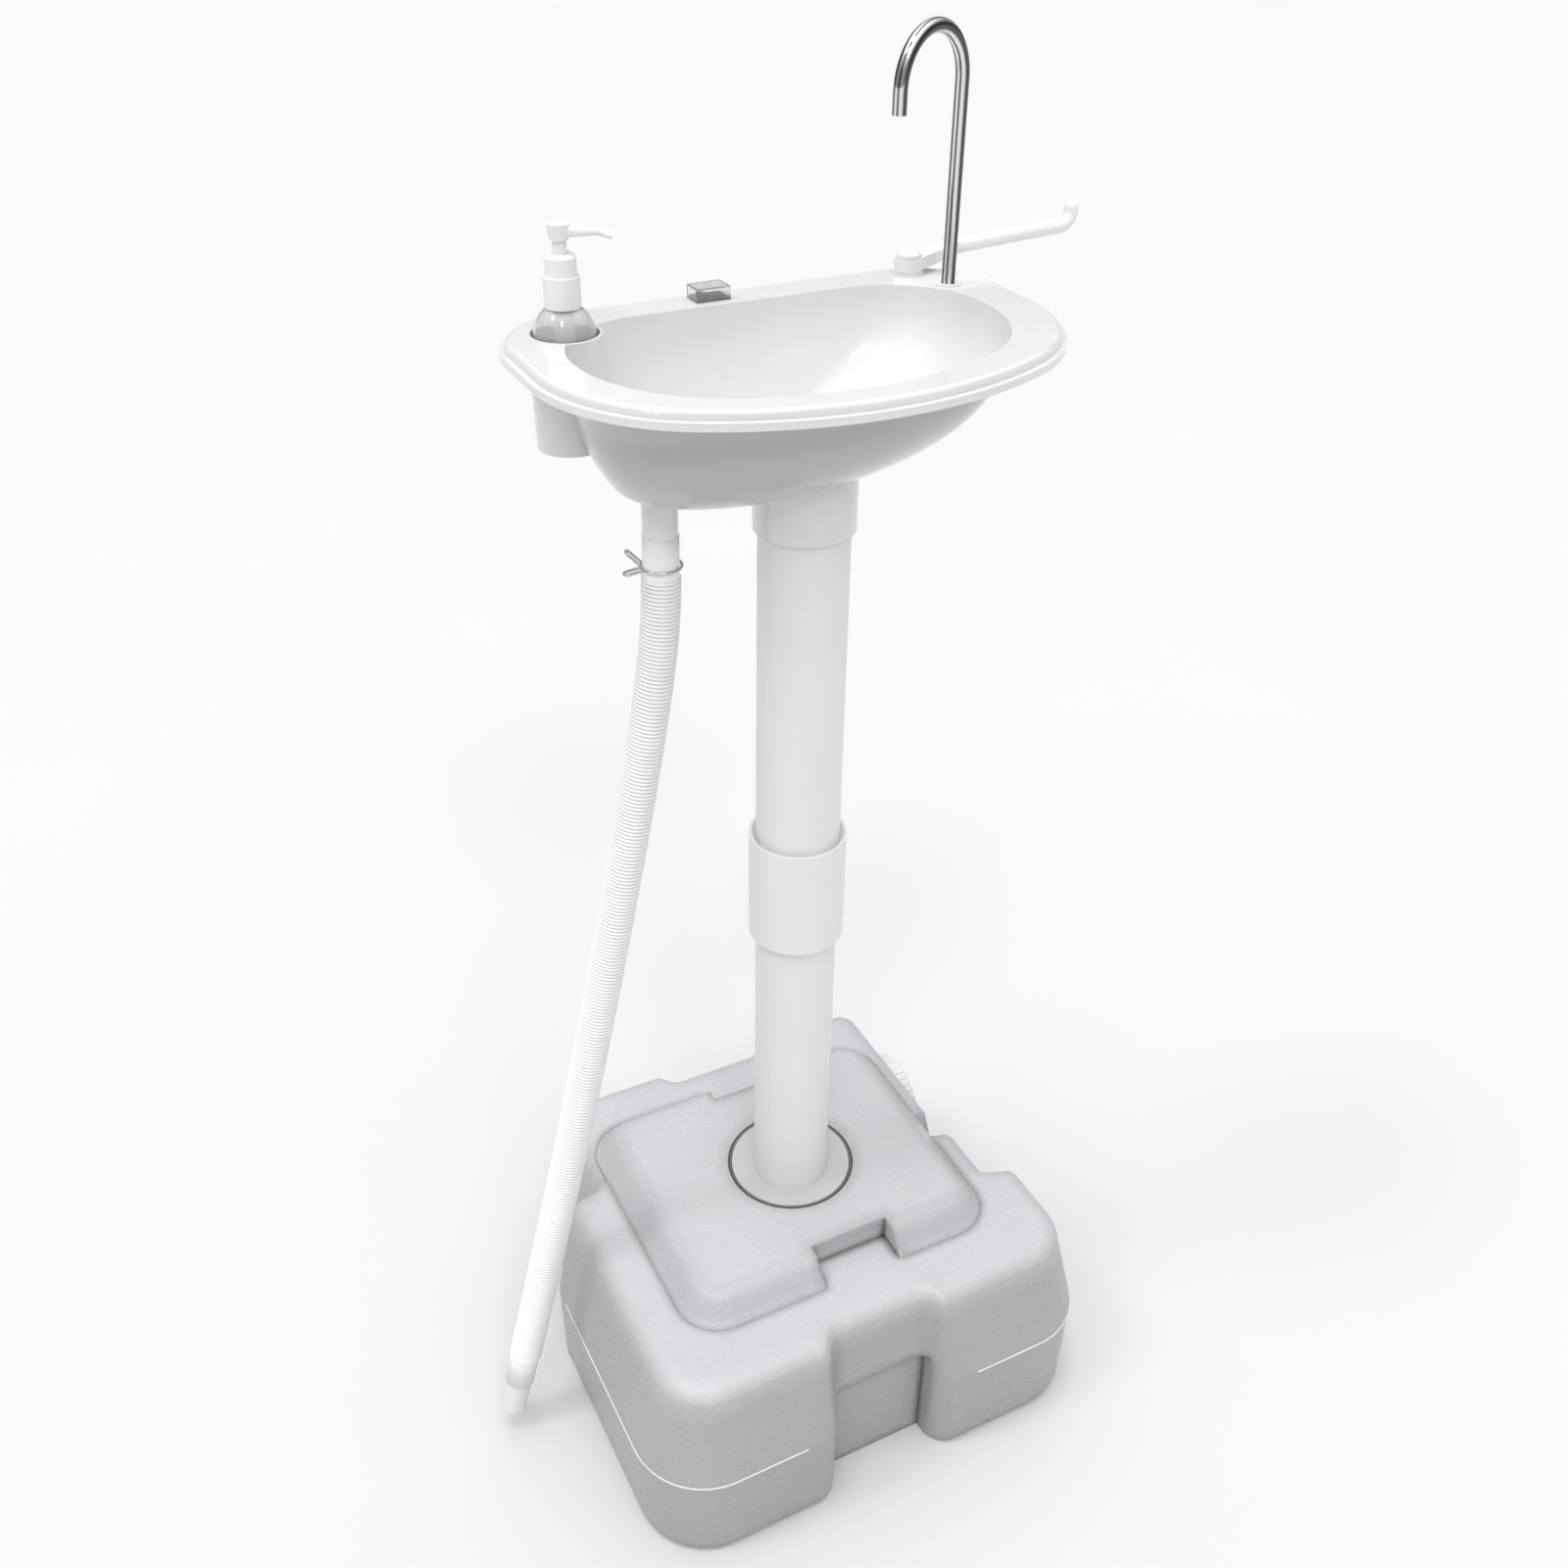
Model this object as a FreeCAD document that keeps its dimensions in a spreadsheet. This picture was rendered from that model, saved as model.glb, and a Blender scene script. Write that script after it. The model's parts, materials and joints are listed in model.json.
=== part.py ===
"""Portable handwash station: a basin on a two-piece column that stands on a moulded water tank.

Axes: the origin is on the floor under the column, +Z is up, the user stands at -Y and +X is to the right.
Lengths are millimetres.
"""
import FreeCAD
import Part
import math
import os

import Sketcher
from FreeCAD import Placement, Rotation, Vector

SIZES = [
    # column
    ("tube_od", 63, "outside diameter of both column tubes"),
    ("tube_wall", 2.5, "wall of the column tubes"),
    ("push_fit", 0.1, "radial gap between round pieces that are pushed together"),
    ("flat_gap", 0.3, "gap between pieces that move past each other"),
    ("collar_od", 73.5, "outside diameter of the coupling collar"),
    ("collar_length", 91, "length of the coupling collar"),
    ("collar_height", 460, "height of the collar's lower edge"),
    ("collar_stop", 4, "height of the ring inside the collar that both tubes meet"),
    ("collar_mouth", 4, "depth of the funnel at each end of the collar"),
    ("collar_flare", 3.2, "how far the funnel opens on the radius"),
    # water tank
    ("tank_width", 410, "tank across X at its seam, over the front corners"),
    ("tank_depth", 384, "tank across Y at its seam"),
    ("tank_wall", 3.5, "wall of the blown tank"),
    ("seam_height", 90, "height of the moulding seam"),
    ("deck_height", 176, "height of the tank's outer deck"),
    ("top_height", 198, "height of the raised plateau round the column"),
    ("floor_draft", 2, "how far the tank draws in from its seam to the floor"),
    ("deck_draft", 18, "how far the tank draws in from its seam to the deck"),
    ("lobe_round", 62, "plan radius of the tank's corners"),
    ("least_round", 3, "least plan radius where the tank draws in"),
    ("deck_round", 15, "rounding of the deck's edge"),
    ("floor_round", 8, "rounding of the tank's lower edge"),
    ("notch_width", 96, "width of the hand notch in front and behind"),
    ("notch_depth", 24, "depth of the notch from its foot up to the seam"),
    ("notch_top", 14, "depth of the notch at the deck"),
    ("notch_flare", 12, "how much wider the notch is at its mouth than at its root"),
    ("notch_round", 24, "plan radius of the notch's outer edges"),
    ("notch_root", 12, "plan radius of the notch's inner corners"),
    ("grip_width", 92, "width of the hand hollow under each carrying beam"),
    ("grip_depth", 8, "depth of the hand hollow behind the beam's face"),
    ("grip_height", 106, "height of the carrying beam's underside"),
    ("step_right", -78, "place along Y where the front right corner ends"),
    ("step_left", 56, "place along Y where the front left corner ends"),
    ("step_depth", 27, "how far the right side stands back behind that corner"),
    ("step_flare", 10, "run along Y of each step"),
    ("groove_y", 2, "place along Y of the upright groove in the right side"),
    ("groove_width", 20, "width of the groove's bottom"),
    ("groove_depth", 24, "depth of the groove"),
    ("groove_flare", 8, "how much wider the groove is at its mouth, on each side"),
    ("groove_round", 8, "plan radius of the groove's bottom corners"),
    ("shoulder_x", 172, "reach of the tank's rear part to either side"),
    ("shoulder_round", 36, "plan radius of the rear right corner"),
    ("plateau_width", 282, "plateau across X at its foot"),
    ("plateau_depth", 244, "plateau across Y at its foot"),
    ("plateau_x", -4, "place along X of the plateau's middle"),
    ("plateau_y", 2, "place along Y of the plateau's middle"),
    ("plateau_round", 36, "plan radius of the plateau's corners"),
    ("plateau_slope", 18, "how far the plateau draws in to its top"),
    ("bite_width", 70, "width of the bites in the plateau's front and back"),
    ("bite_depth", 28, "depth of the bites"),
    ("bite_x", 7, "place along X of the bites"),
    # tank mouth and lid
    ("lid_od", 102, "diameter of the lid disc round the column's foot"),
    ("lid_thick", 6, "thickness of the lid disc"),
    ("lid_gap", 1.2, "radial gap between the lid disc and its recess"),
    ("lid_skirt", 22, "length of the lid's skirt below the disc"),
    ("lid_pass", 25, "radius of the hole through the lid for hose and lead"),
    ("seal_thick", 1.5, "thickness of the flat seals"),
    ("mouth_bore", 84, "bore of the tank's mouth"),
    ("neck_od", 114, "outside diameter of the mouth's ring"),
    ("neck_depth", 26, "height of the mouth's ring"),
    ("thread_gap", 0.4, "radial gap of the screwed pieces"),
    ("socket_depth", 24, "how deep the lower tube sits in the lid"),
    # filler
    ("filler_y", 137, "filler axis behind the column"),
    ("filler_z", 70, "filler axis above the floor"),
    ("filler_od", 62, "outside diameter of the filler neck"),
    ("filler_bore", 54, "bore of the filler neck"),
    ("filler_reach", 19, "how far the filler neck stands out of the tank"),
    ("cap_od", 88, "outside diameter of the filler cap"),
    ("cap_wall", 3, "end wall of the filler cap"),
    ("cap_gap", 3, "gap between the filler cap and the tank"),
    ("cap_ribs", 40, "count of grip flutes round the cap"),
    ("cap_chamfer", 1.5, "chamfer of the filler cap's outer edge"),
    ("cap_flute", 1.6, "radius of one grip flute"),
    ("flute_offset", 0.64, "how far outside the cap's side the flutes' axes are"),
    # water pump and what runs up the column
    ("strainer_od", 56, "diameter of the pump's strainer foot"),
    ("strainer_wall", 2, "wall of the strainer foot"),
    ("strainer_height", 14, "height of the strainer foot"),
    ("strainer_slots", 12, "count of the strainer's slots"),
    ("slot_width", 3, "width of one strainer slot"),
    ("pump_od", 52, "diameter of the pump's body"),
    ("pump_floor", 2, "thickness of the pump body's floor"),
    ("inlet_bore", 12, "diameter of the pump's inlet"),
    ("chamber_od", 29, "diameter of the impeller's chamber"),
    ("chamber_height", 9, "height of the impeller's chamber"),
    ("partition", 3, "wall between the impeller and the motor"),
    ("motor_od", 24, "diameter of the pump's motor"),
    ("motor_length", 40, "length of the pump's motor"),
    ("shaft_od", 3, "diameter of the impeller's shaft"),
    ("shaft_length", 30, "length of the impeller's shaft inside the motor"),
    ("impeller_od", 27, "diameter of the impeller"),
    ("impeller_plate", 2, "thickness of the impeller's plate"),
    ("impeller_hub", 7, "diameter of the impeller's hub"),
    ("vane_height", 4, "height of the impeller's vanes"),
    ("vane_thick", 1.4, "thickness of the impeller's vanes"),
    ("vane_count", 6, "count of the impeller's vanes"),
    ("cover_thick", 4, "thickness of the pump's cover"),
    ("nipple_od", 6.8, "diameter of hose nipples"),
    ("nipple_length", 14, "length of hose nipples"),
    ("nipple_bore", 4.6, "bore of hose nipples"),
    ("riser_od", 10, "outside diameter of the riser hose"),
    ("riser_bore", 7, "bore of the riser hose"),
    ("riser_offset", 18.5, "how far the riser stands from the column's axis"),
    ("riser_exit", 70, "direction in which the riser leaves the column, in degrees from +X"),
    ("riser_bend", 162, "how far below the rim the riser leaves the column"),
    ("riser_swing", 82, "how far behind the column's axis the riser swings"),
    ("riser_bulge", 16, "how far the riser bows back on its way to the spout"),
    ("lead_od", 4, "diameter of the electric leads"),
    ("battery_od", 36, "diameter of the battery pack"),
    ("battery_length", 72, "length of the battery pack"),
    ("battery_height", 278, "height of the rim over the battery pack's lower end"),
    ("lead_bend", 166, "how far below the rim the switch lead turns to leave the column"),
    ("grommet_wall", 1.5, "wall of the rubber grommets"),
    ("clip_wire", 1.4, "wire of the small hose clips"),
    # basin
    ("rim_height", 918, "height of the basin's rim"),
    ("rim_width", 361, "rim across X"),
    ("rim_shift", 7.5, "how far the rim's middle lies to the right"),
    ("rim_front", 105, "rim in front of the column's axis"),
    ("rim_back", 134, "rim behind the column's axis"),
    ("rim_sweep", 260, "plan radius of the rim's front"),
    ("rim_shoulder", 115, "plan radius of the rim's front corners"),
    ("rim_corner", 62, "plan radius of the rim's back corners"),
    ("rim_drop", 11, "height of the rim's turned-down edge"),
    ("lip_height", 5, "height of the rim's outer lip"),
    ("lip_step", 4, "how far the lip stands out"),
    ("rim_round", 3, "rounding of the rim's upper edge"),
    ("basin_wall", 3, "wall of the basin"),
    ("bowl_width", 294, "bowl across X at the rim"),
    ("bowl_offset", 3, "how far the bowl's middle lies to the right"),
    ("bowl_front", 81, "bowl in front of the column's axis"),
    ("bowl_back", 101, "bowl behind the column's axis"),
    ("bowl_sweep", 220, "plan radius of the bowl's front"),
    ("bowl_shoulder", 100, "plan radius of the bowl's front corners"),
    ("bowl_corner", 68, "plan radius of the bowl's back corners"),
    ("bowl_depth", 82, "depth of the bowl"),
    ("bowl_shift", 48, "how far the bowl's floor lies to the left"),
    ("boss_od", 70, "diameter of the socket under the bowl"),
    ("boss_drop", 120, "how far below the rim the socket ends"),
    ("boss_depth", 23, "how deep the upper tube sits in the socket"),
    ("cup_x", -127, "soap cup's axis across X"),
    ("cup_y", 88, "soap cup's axis behind the column"),
    ("cup_bore", 44, "bore of the soap cup"),
    ("cup_wall", 2.2, "wall of the soap cup"),
    ("cup_depth", 72, "depth of the soap cup"),
    ("cup_draft", 1.6, "how far the soap cup's outside draws in"),
    # drain
    ("drain_x", -94, "drain across X"),
    ("drain_y", 22, "drain behind the column"),
    ("drain_bore", 18, "bore of the drain"),
    ("spigot_od", 24, "diameter of the drain's upper step"),
    ("spigot_step", 32.0, "height of the drain's upper step"),
    ("barb_od", 21.6, "diameter of the drain's hose spigot"),
    ("barb_length", 30, "length of the drain's hose spigot"),
    ("sieve_od", 32, "diameter of the drain sieve"),
    ("sieve_thick", 1.6, "thickness of the drain sieve"),
    ("sieve_hole", 5, "diameter of the sieve's holes"),
    ("sieve_ring", 9.5, "pitch radius of the sieve's holes"),
    ("sieve_holes", 8, "count of holes in the sieve's ring"),
    ("hose_od", 27, "diameter over the hose's ribs"),
    ("hose_valley", 25, "diameter between the hose's ribs"),
    ("hose_bore", 22, "bore of the hose"),
    ("hose_ribs", 200, "count of the hose's ribs"),
    ("hose_cuff", 29, "length of the hose's plain ends"),
    ("outlet_od", 21.6, "diameter of the hose's outlet pipe"),
    ("outlet_bore", 18.6, "bore of the hose's outlet pipe"),
    ("outlet_length", 50, "length of the outlet pipe"),
    ("outlet_insert", 20, "length of the outlet pipe inside the hose"),
    ("clamp_wire", 2, "wire of the hose clamp"),
    ("clamp_drop", 22, "how far below the hose's top the clamp sits"),
    ("clamp_ear", 13, "length of the clamp's finger loops"),
    ("clamp_eye", 2.6, "radius of the clamp's finger loops"),
    # spout
    ("spout_x", 150, "spout across X"),
    ("spout_y", 78, "spout behind the column"),
    ("spout_od", 9.4, "outside diameter of the spout"),
    ("spout_wall", 0.9, "wall of the spout"),
    ("spout_bend", 34.5, "radius of the spout's bend"),
    ("spout_rise", 132, "height of the spout's straight leg above the rim"),
    ("spout_drop", 13, "straight length of the spout's front leg"),
    ("spout_aim", 204, "direction of the spout in degrees from +X"),
    ("spout_seat", 32, "how far the spout reaches below the rim"),
    ("shaft_gap", 0.06, "radial gap of turning shafts"),
    ("bush_od", 15, "diameter of the spout's bush"),
    ("bush_flange", 18, "diameter of the bush's flange"),
    ("flange_thick", 1.2, "thickness of the bush's flange"),
    ("bush_length", 38, "length of the bush"),
    ("oring_width", 1.8, "width of the spout's seal ring"),
    ("oring_drop", 20, "how far below the rim the seal ring lies"),
    ("bush_nut_od", 19.6, "diameter over the corners of the spout's nut"),
    ("nut_height", 6, "height of the nuts under the rim"),
    # towel arm
    ("arm_x", 138, "towel pivot across X"),
    ("arm_y", 112, "towel pivot behind the column"),
    ("arm_aim", 9, "direction of the towel arm in degrees from +X"),
    ("arm_hub", 20, "diameter of the arm's hub"),
    ("arm_root_width", 16.8, "width of the arm's root at the hub"),
    ("arm_thick", 9, "thickness of the arm's hub"),
    ("arm_bar", 11, "diameter of the arm's bar"),
    ("arm_root", 46, "distance from the pivot to the start of the bar"),
    ("arm_rise", 6, "how far the bar's axis rises over the hub's"),
    ("arm_length", 157, "distance from the pivot to the upturned tip"),
    ("arm_tip", 12, "height of the upturned tip"),
    ("pin_od", 8, "diameter of the towel pivot"),
    ("pin_nut_od", 12, "diameter over the corners of the towel pivot's nut"),
    ("pin_cap", 17, "diameter of the pivot's cap"),
    ("pin_cap_height", 5, "height of the pivot's cap"),
    ("pin_cap_top", 12.24, "diameter of the cap's flat top"),
    ("pin_cap_room", 1, "radial room round the pivot's cap"),
    ("washer_od", 22, "diameter of the disc under the arm"),
    ("washer_thick", 2, "thickness of the disc under the arm"),
    # switch
    ("switch_x", -14, "switch across X"),
    ("switch_y", 117, "switch behind the column"),
    ("boot_length", 25, "clear boot across X"),
    ("boot_depth", 17, "clear boot across Y"),
    ("boot_height", 9, "height of the clear boot"),
    ("boot_wall", 1.2, "wall of the clear boot"),
    ("boot_round", 1, "rounding of the clear boot"),
    ("bezel_height", 2, "height of the switch's bezel"),
    ("body_length", 19.5, "switch body across X"),
    ("body_depth", 12.5, "switch body across Y"),
    ("body_drop", 22, "how far the switch body reaches below the rim"),
    ("rocker_length", 15.5, "rocker across X"),
    ("rocker_depth", 9, "rocker across Y"),
    ("rocker_lift", 2.5, "height of the rocker's raised end over its ridge"),
    ("rocker_ridge", 0.6, "height of the rocker's ridge over the bezel"),
    ("rocker_pin", 2, "diameter of the pin that the rocker tips on"),
    # soap dispenser
    ("bottle_od", 42, "diameter of the soap bottle"),
    ("bottle_wall", 1.2, "wall of the soap bottle"),
    ("bottle_height", 88, "height of the soap bottle to its neck"),
    ("bottle_shoulder", 17, "height of the bottle's shoulder"),
    ("bottle_neck", 18, "diameter of the bottle's neck"),
    ("neck_height", 14, "height of the bottle's neck"),
    ("soap_cap_od", 23.4, "diameter of the screw cap"),
    ("soap_cap_height", 19, "height of the screw cap"),
    ("soap_cap_wall", 2, "wall of the screw cap and of the pump's throat"),
    ("throat_od", 20, "diameter of the pump's throat"),
    ("throat_height", 13.5, "height of the pump's throat"),
    ("stem_od", 9, "diameter of the pump's stem"),
    ("stem_insert", 4, "how deep the stem sits in the pump's head"),
    ("stem_bore", 3, "bore of the pump's stem"),
    ("press_travel", 8, "travel of the pump's head"),
    ("head_od", 15, "diameter of the pump's head"),
    ("head_foot", 12, "diameter of the pump head's underside"),
    ("head_height", 9.5, "height of the pump's head"),
    ("nozzle_reach", 33, "distance from the pump's axis to the nozzle's tip"),
    ("nozzle_straight", 23.76, "distance from the pump's axis to where the nozzle turns down"),
    ("nozzle_root", 9, "diameter of the nozzle at the pump's axis"),
    ("nozzle_od", 5, "diameter of the nozzle where it turns down"),
    ("nozzle_tip", 3.8, "diameter of the nozzle's tip"),
    ("nozzle_drop", 3, "how far the nozzle's tip turns down"),
    ("nozzle_aim", -27, "direction of the nozzle in degrees from +X"),
    ("barrel_od", 13, "diameter of the pump's barrel"),
    ("barrel_bore", 10.4, "bore of the pump's barrel"),
    ("barrel_length", 38, "length of the pump's barrel below the neck"),
    ("barrel_flange", 1.2, "thickness of the barrel's flange and floor"),
    ("piston_length", 4, "length of the stem's piston"),
    ("dip_socket", 6, "length of the barrel's socket for the dip tube"),
    ("dip_clear", 2.4, "gap between the dip tube and the bottle's floor"),
    ("dip_od", 5, "diameter of the dip tube"),
    ("dip_bore", 3.4, "bore of the dip tube"),
    ("spring_wire", 0.8, "wire of the pump's spring"),
    ("spring_od", 9.6, "diameter of the pump's spring"),
    ("spring_turns", 7, "count of the spring's turns"),
]

# Where the drain hose runs, from the spigot down past the tank's left side to just above the floor.
HOSE_ROUTE = [
    (-94, 22, 801),
    (-94, 22, 752),
    (-103, 20, 690),
    (-121.5, 17, 600),
    (-148.5, 13.5, 480),
    (-180, 9.5, 350),
    (-214.5, 6, 215),
    (-247, 2.5, 95),
    (-259, 1.2, 52),
]

# Steps in a rounded edge of the tank, and how inner corners of its plan grow with the inset.
ROUND_STEPS = 3
INNER_GROWTH = 1 / 3

# Where the riser and the switch's lead pass, as shares of the way from their bend up to their end.
RISER_SHARES = (0.35, 0.48, 0.6)
LEAD_SHARE = 0.68

# One rib of the drain hose: the shares of its pitch where it starts, is full, is full still, and ends.
RIB_SHARES = (0.08, 0.28, 0.72, 0.92)

# The finger loops of the hose's clamp: direction and upward tilt in degrees.
CLAMP_LOOPS = [(148, 42), (182, -4)]

# The rocker's outline as shares of half its length: its foot, how deep that is, then both ends and tops.
ROCKER_FOOT, ROCKER_DEPTH = 0.62, 0.7
LOW_END, LOW_TOP = 0.94, 0.9
HIGH_END, HIGH_TOP = 0.98, 0.84

# The bottle's shoulder: share of its radius, share of its height, and how far the inside lies lower in walls.
BOTTLE_SHOULDER = [
    (0.985, 0.2, 0.2), (0.93, 0.4, 0.4), (0.86, 0.58, 0.6), (0.76, 0.75, 0.8), (0.64, 0.89, 0.92),
]
NECK_INSIDE = 0.5

# A round bar's corner: the share of its radius at 45 degrees.
DIAGONAL = math.sqrt(0.5)

# Bowl sections from the rim to the floor: share of the depth, share of the plan size, share of the shift.
BOWL_SECTIONS = [
    (0.10, 0.985, 0.0),
    (0.40, 0.93, 0.08),
    (0.72, 0.79, 0.36),
    (0.90, 0.64, 0.66),
    (1.00, 0.49, 1.0),
]


class Size:
    """A length of the sheet: its value now, and the expression that gives it."""

    def __init__(self, value, text):
        self.value = value
        self.text = text

    @staticmethod
    def of(thing):
        return thing if isinstance(thing, Size) else Size(float(thing), repr(float(thing)))

    def __add__(self, other):
        other = Size.of(other)
        return Size(self.value + other.value, f"({self.text} + {other.text})")

    def __sub__(self, other):
        other = Size.of(other)
        return Size(self.value - other.value, f"({self.text} - {other.text})")

    def __mul__(self, other):
        other = Size.of(other)
        return Size(self.value * other.value, f"({self.text} * {other.text})")

    def __truediv__(self, other):
        other = Size.of(other)
        return Size(self.value / other.value, f"({self.text} / {other.text})")

    def __radd__(self, other):
        return Size.of(other) + self

    def __rsub__(self, other):
        return Size.of(other) - self

    def __rmul__(self, other):
        return Size.of(other) * self

    def __neg__(self):
        return 0 - self


class Sheet:
    """The spreadsheet of driving sizes; each alias reads as an attribute."""

    def __init__(self, document, table):
        self.cells = {}
        sheet = document.addObject("Spreadsheet::Sheet", "sizes")
        for row, (alias, value, meaning) in enumerate(table, 1):
            sheet.set(f"A{row}", alias)
            sheet.set(f"B{row}", str(value))
            sheet.set(f"C{row}", meaning)
            sheet.setAlias(f"B{row}", alias)
            self.cells[alias] = Size(float(value), f"sizes.{alias}")

    def __getattr__(self, alias):
        return self.cells[alias]


SIDEWAYS = Rotation(Vector(0, 1, 0), 90)
doc = FreeCAD.newDocument("handwash_station")
S = Sheet(doc, SIZES)
doc.recompute()
pieces = []


def keep(piece, label):
    """Names a finished sub-part and lists it for writing."""
    piece.Label = label
    pieces.append(piece)
    return piece


def bind(thing, path, size):
    thing.setExpression(path, Size.of(size).text)


def place(thing, x, y, z, rotation=None):
    """Binds a thing's position; a rotation is set as it is."""
    spot = Vector(Size.of(x).value, Size.of(y).value, Size.of(z).value)
    thing.Placement = Placement(spot, rotation or Rotation())
    for axis, size in (("x", x), ("y", y), ("z", z)):
        bind(thing, f"Placement.Base.{axis}", size)


def cylinder(name, diameter, height, x, y, z, rotation=None):
    rod = doc.addObject("Part::Cylinder", name)
    bind(rod, "Radius", Size.of(diameter) / 2)
    bind(rod, "Height", height)
    place(rod, x, y, z, rotation)
    return rod


def box(name, length, width, height, x, y, z):
    """A box centred on x and y, standing on z."""
    block = doc.addObject("Part::Box", name)
    bind(block, "Length", length)
    bind(block, "Width", width)
    bind(block, "Height", height)
    place(block, Size.of(x) - Size.of(length) / 2, Size.of(y) - Size.of(width) / 2, z)
    return block


def cut(name, base, tool):
    result = doc.addObject("Part::Cut", name)
    result.Base = base
    result.Tool = tool
    return result


def fuse(name, *things):
    result = doc.addObject("Part::MultiFuse", name)
    result.Shapes = list(things)
    return result


def common(name, *things):
    result = doc.addObject("Part::MultiCommon", name)
    result.Shapes = list(things)
    return result


def solid(name, shape, at=Vector()):
    """A shape made with Part's own functions from sizes read off the sheet, moved to a spot."""
    feature = doc.addObject("Part::Feature", name)
    feature.Shape = shape
    feature.Placement = Placement(at, Rotation())
    return feature


def tube(name, outer, inner, height, x, y, z, rotation=None):
    wall = cylinder(f"{name}_outside", outer, height, x, y, z, rotation)
    bore = cylinder(f"{name}_bore", inner, height, x, y, z, rotation)
    return cut(name, wall, bore)


def profile_sketch(body, name, plane, corners):
    """A closed outline of straight lines whose corners are bound to the sheet."""
    sketch = body.newObject("Sketcher::SketchObject", name)
    support = [feature for feature in body.Origin.OriginFeatures if feature.Role == plane][0]
    sketch.AttachmentSupport = [(support, "")]
    sketch.MapMode = "FlatFace"
    corners = [(Size.of(across), Size.of(along)) for across, along in corners]
    spots = [Vector(across.value, along.value, 0) for across, along in corners]
    count = len(spots)
    for index in range(count):
        sketch.addGeometry(Part.LineSegment(spots[index], spots[(index + 1) % count]), False)
    for index in range(count):
        sketch.addConstraint(Sketcher.Constraint("Coincident", index, 2, (index + 1) % count, 1))
    for index, (across, along) in enumerate(corners):
        for kind, size, axis in (("DistanceX", across, -2), ("DistanceY", along, -1)):
            if size.text == "0.0":
                sketch.addConstraint(Sketcher.Constraint("PointOnObject", index, 1, axis))
                continue
            number = sketch.addConstraint(Sketcher.Constraint(kind, -1, 1, index, 1, size.value))
            sketch.setExpression(f"Constraints[{number}]", size.text)
    return sketch


def turned(name, corners, x, y, z, rotation=None):
    """A body of revolution: corners are (radius, height) about the body's own Z axis."""
    body = doc.addObject("PartDesign::Body", name)
    sketch = profile_sketch(body, f"{name}_profile", "XZ_Plane", corners)
    spin = body.newObject("PartDesign::Revolution", f"{name}_spin")
    spin.Profile = (sketch, [""])
    spin.ReferenceAxis = (sketch, ["V_Axis"])
    spin.Angle = 360
    place(body, x, y, z, rotation)
    return body


def ring_of_holes(body, name, diameter, ring_radius, depth, count):
    """Round holes through a turned body's top, spread evenly round its axis."""
    sketch = body.newObject("Sketcher::SketchObject", f"{name}_sketch")
    support = [feature for feature in body.Origin.OriginFeatures if feature.Role == "XY_Plane"][0]
    sketch.AttachmentSupport = [(support, "")]
    sketch.MapMode = "FlatFace"
    centre = Vector(ring_radius.value, 0, 0)
    sketch.addGeometry(Part.Circle(centre, Vector(0, 0, 1), diameter.value / 2), False)
    sketch.addConstraint(Sketcher.Constraint("PointOnObject", 0, 3, -1))
    number = sketch.addConstraint(Sketcher.Constraint("DistanceX", -1, 1, 0, 3, ring_radius.value))
    sketch.setExpression(f"Constraints[{number}]", ring_radius.text)
    number = sketch.addConstraint(Sketcher.Constraint("Radius", 0, diameter.value / 2))
    sketch.setExpression(f"Constraints[{number}]", (diameter / 2).text)
    pocket = body.newObject("PartDesign::Pocket", f"{name}_hole")
    pocket.Profile = (sketch, [""])
    pocket.Midplane = True
    bind(pocket, "Length", depth)
    pattern = body.newObject("PartDesign::PolarPattern", f"{name}_pattern")
    pattern.Originals = [pocket]
    pattern.Axis = (sketch, ["N_Axis"])
    pattern.Angle = 360
    bind(pattern, "Occurrences", count)
    body.Tip = pattern
    return body


def rounded_wire(corners, z):
    """A closed flat wire from (x, y, radius) corners, each rounded by a tangent arc."""
    count = len(corners)
    spans = []
    for index in range(count):
        before, here, after = (Vector(*corners[(index + step) % count][:2], z) for step in (-1, 0, 1))
        radius = corners[index][2]
        back = (before - here).normalize()
        ahead = (after - here).normalize()
        half = back.getAngle(ahead) / 2
        reach = radius / math.tan(half)
        inward = (back + ahead).normalize()
        middle = here + inward * (radius / math.sin(half) - radius)
        spans.append((here + back * reach, middle, here + ahead * reach))
    edges = []
    for index, (start, middle, end) in enumerate(spans):
        edges.append(Part.Arc(start, middle, end).toShape())
        edges.append(Part.LineSegment(end, spans[(index + 1) % count][0]).toShape())
    return Part.Wire(edges)


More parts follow.
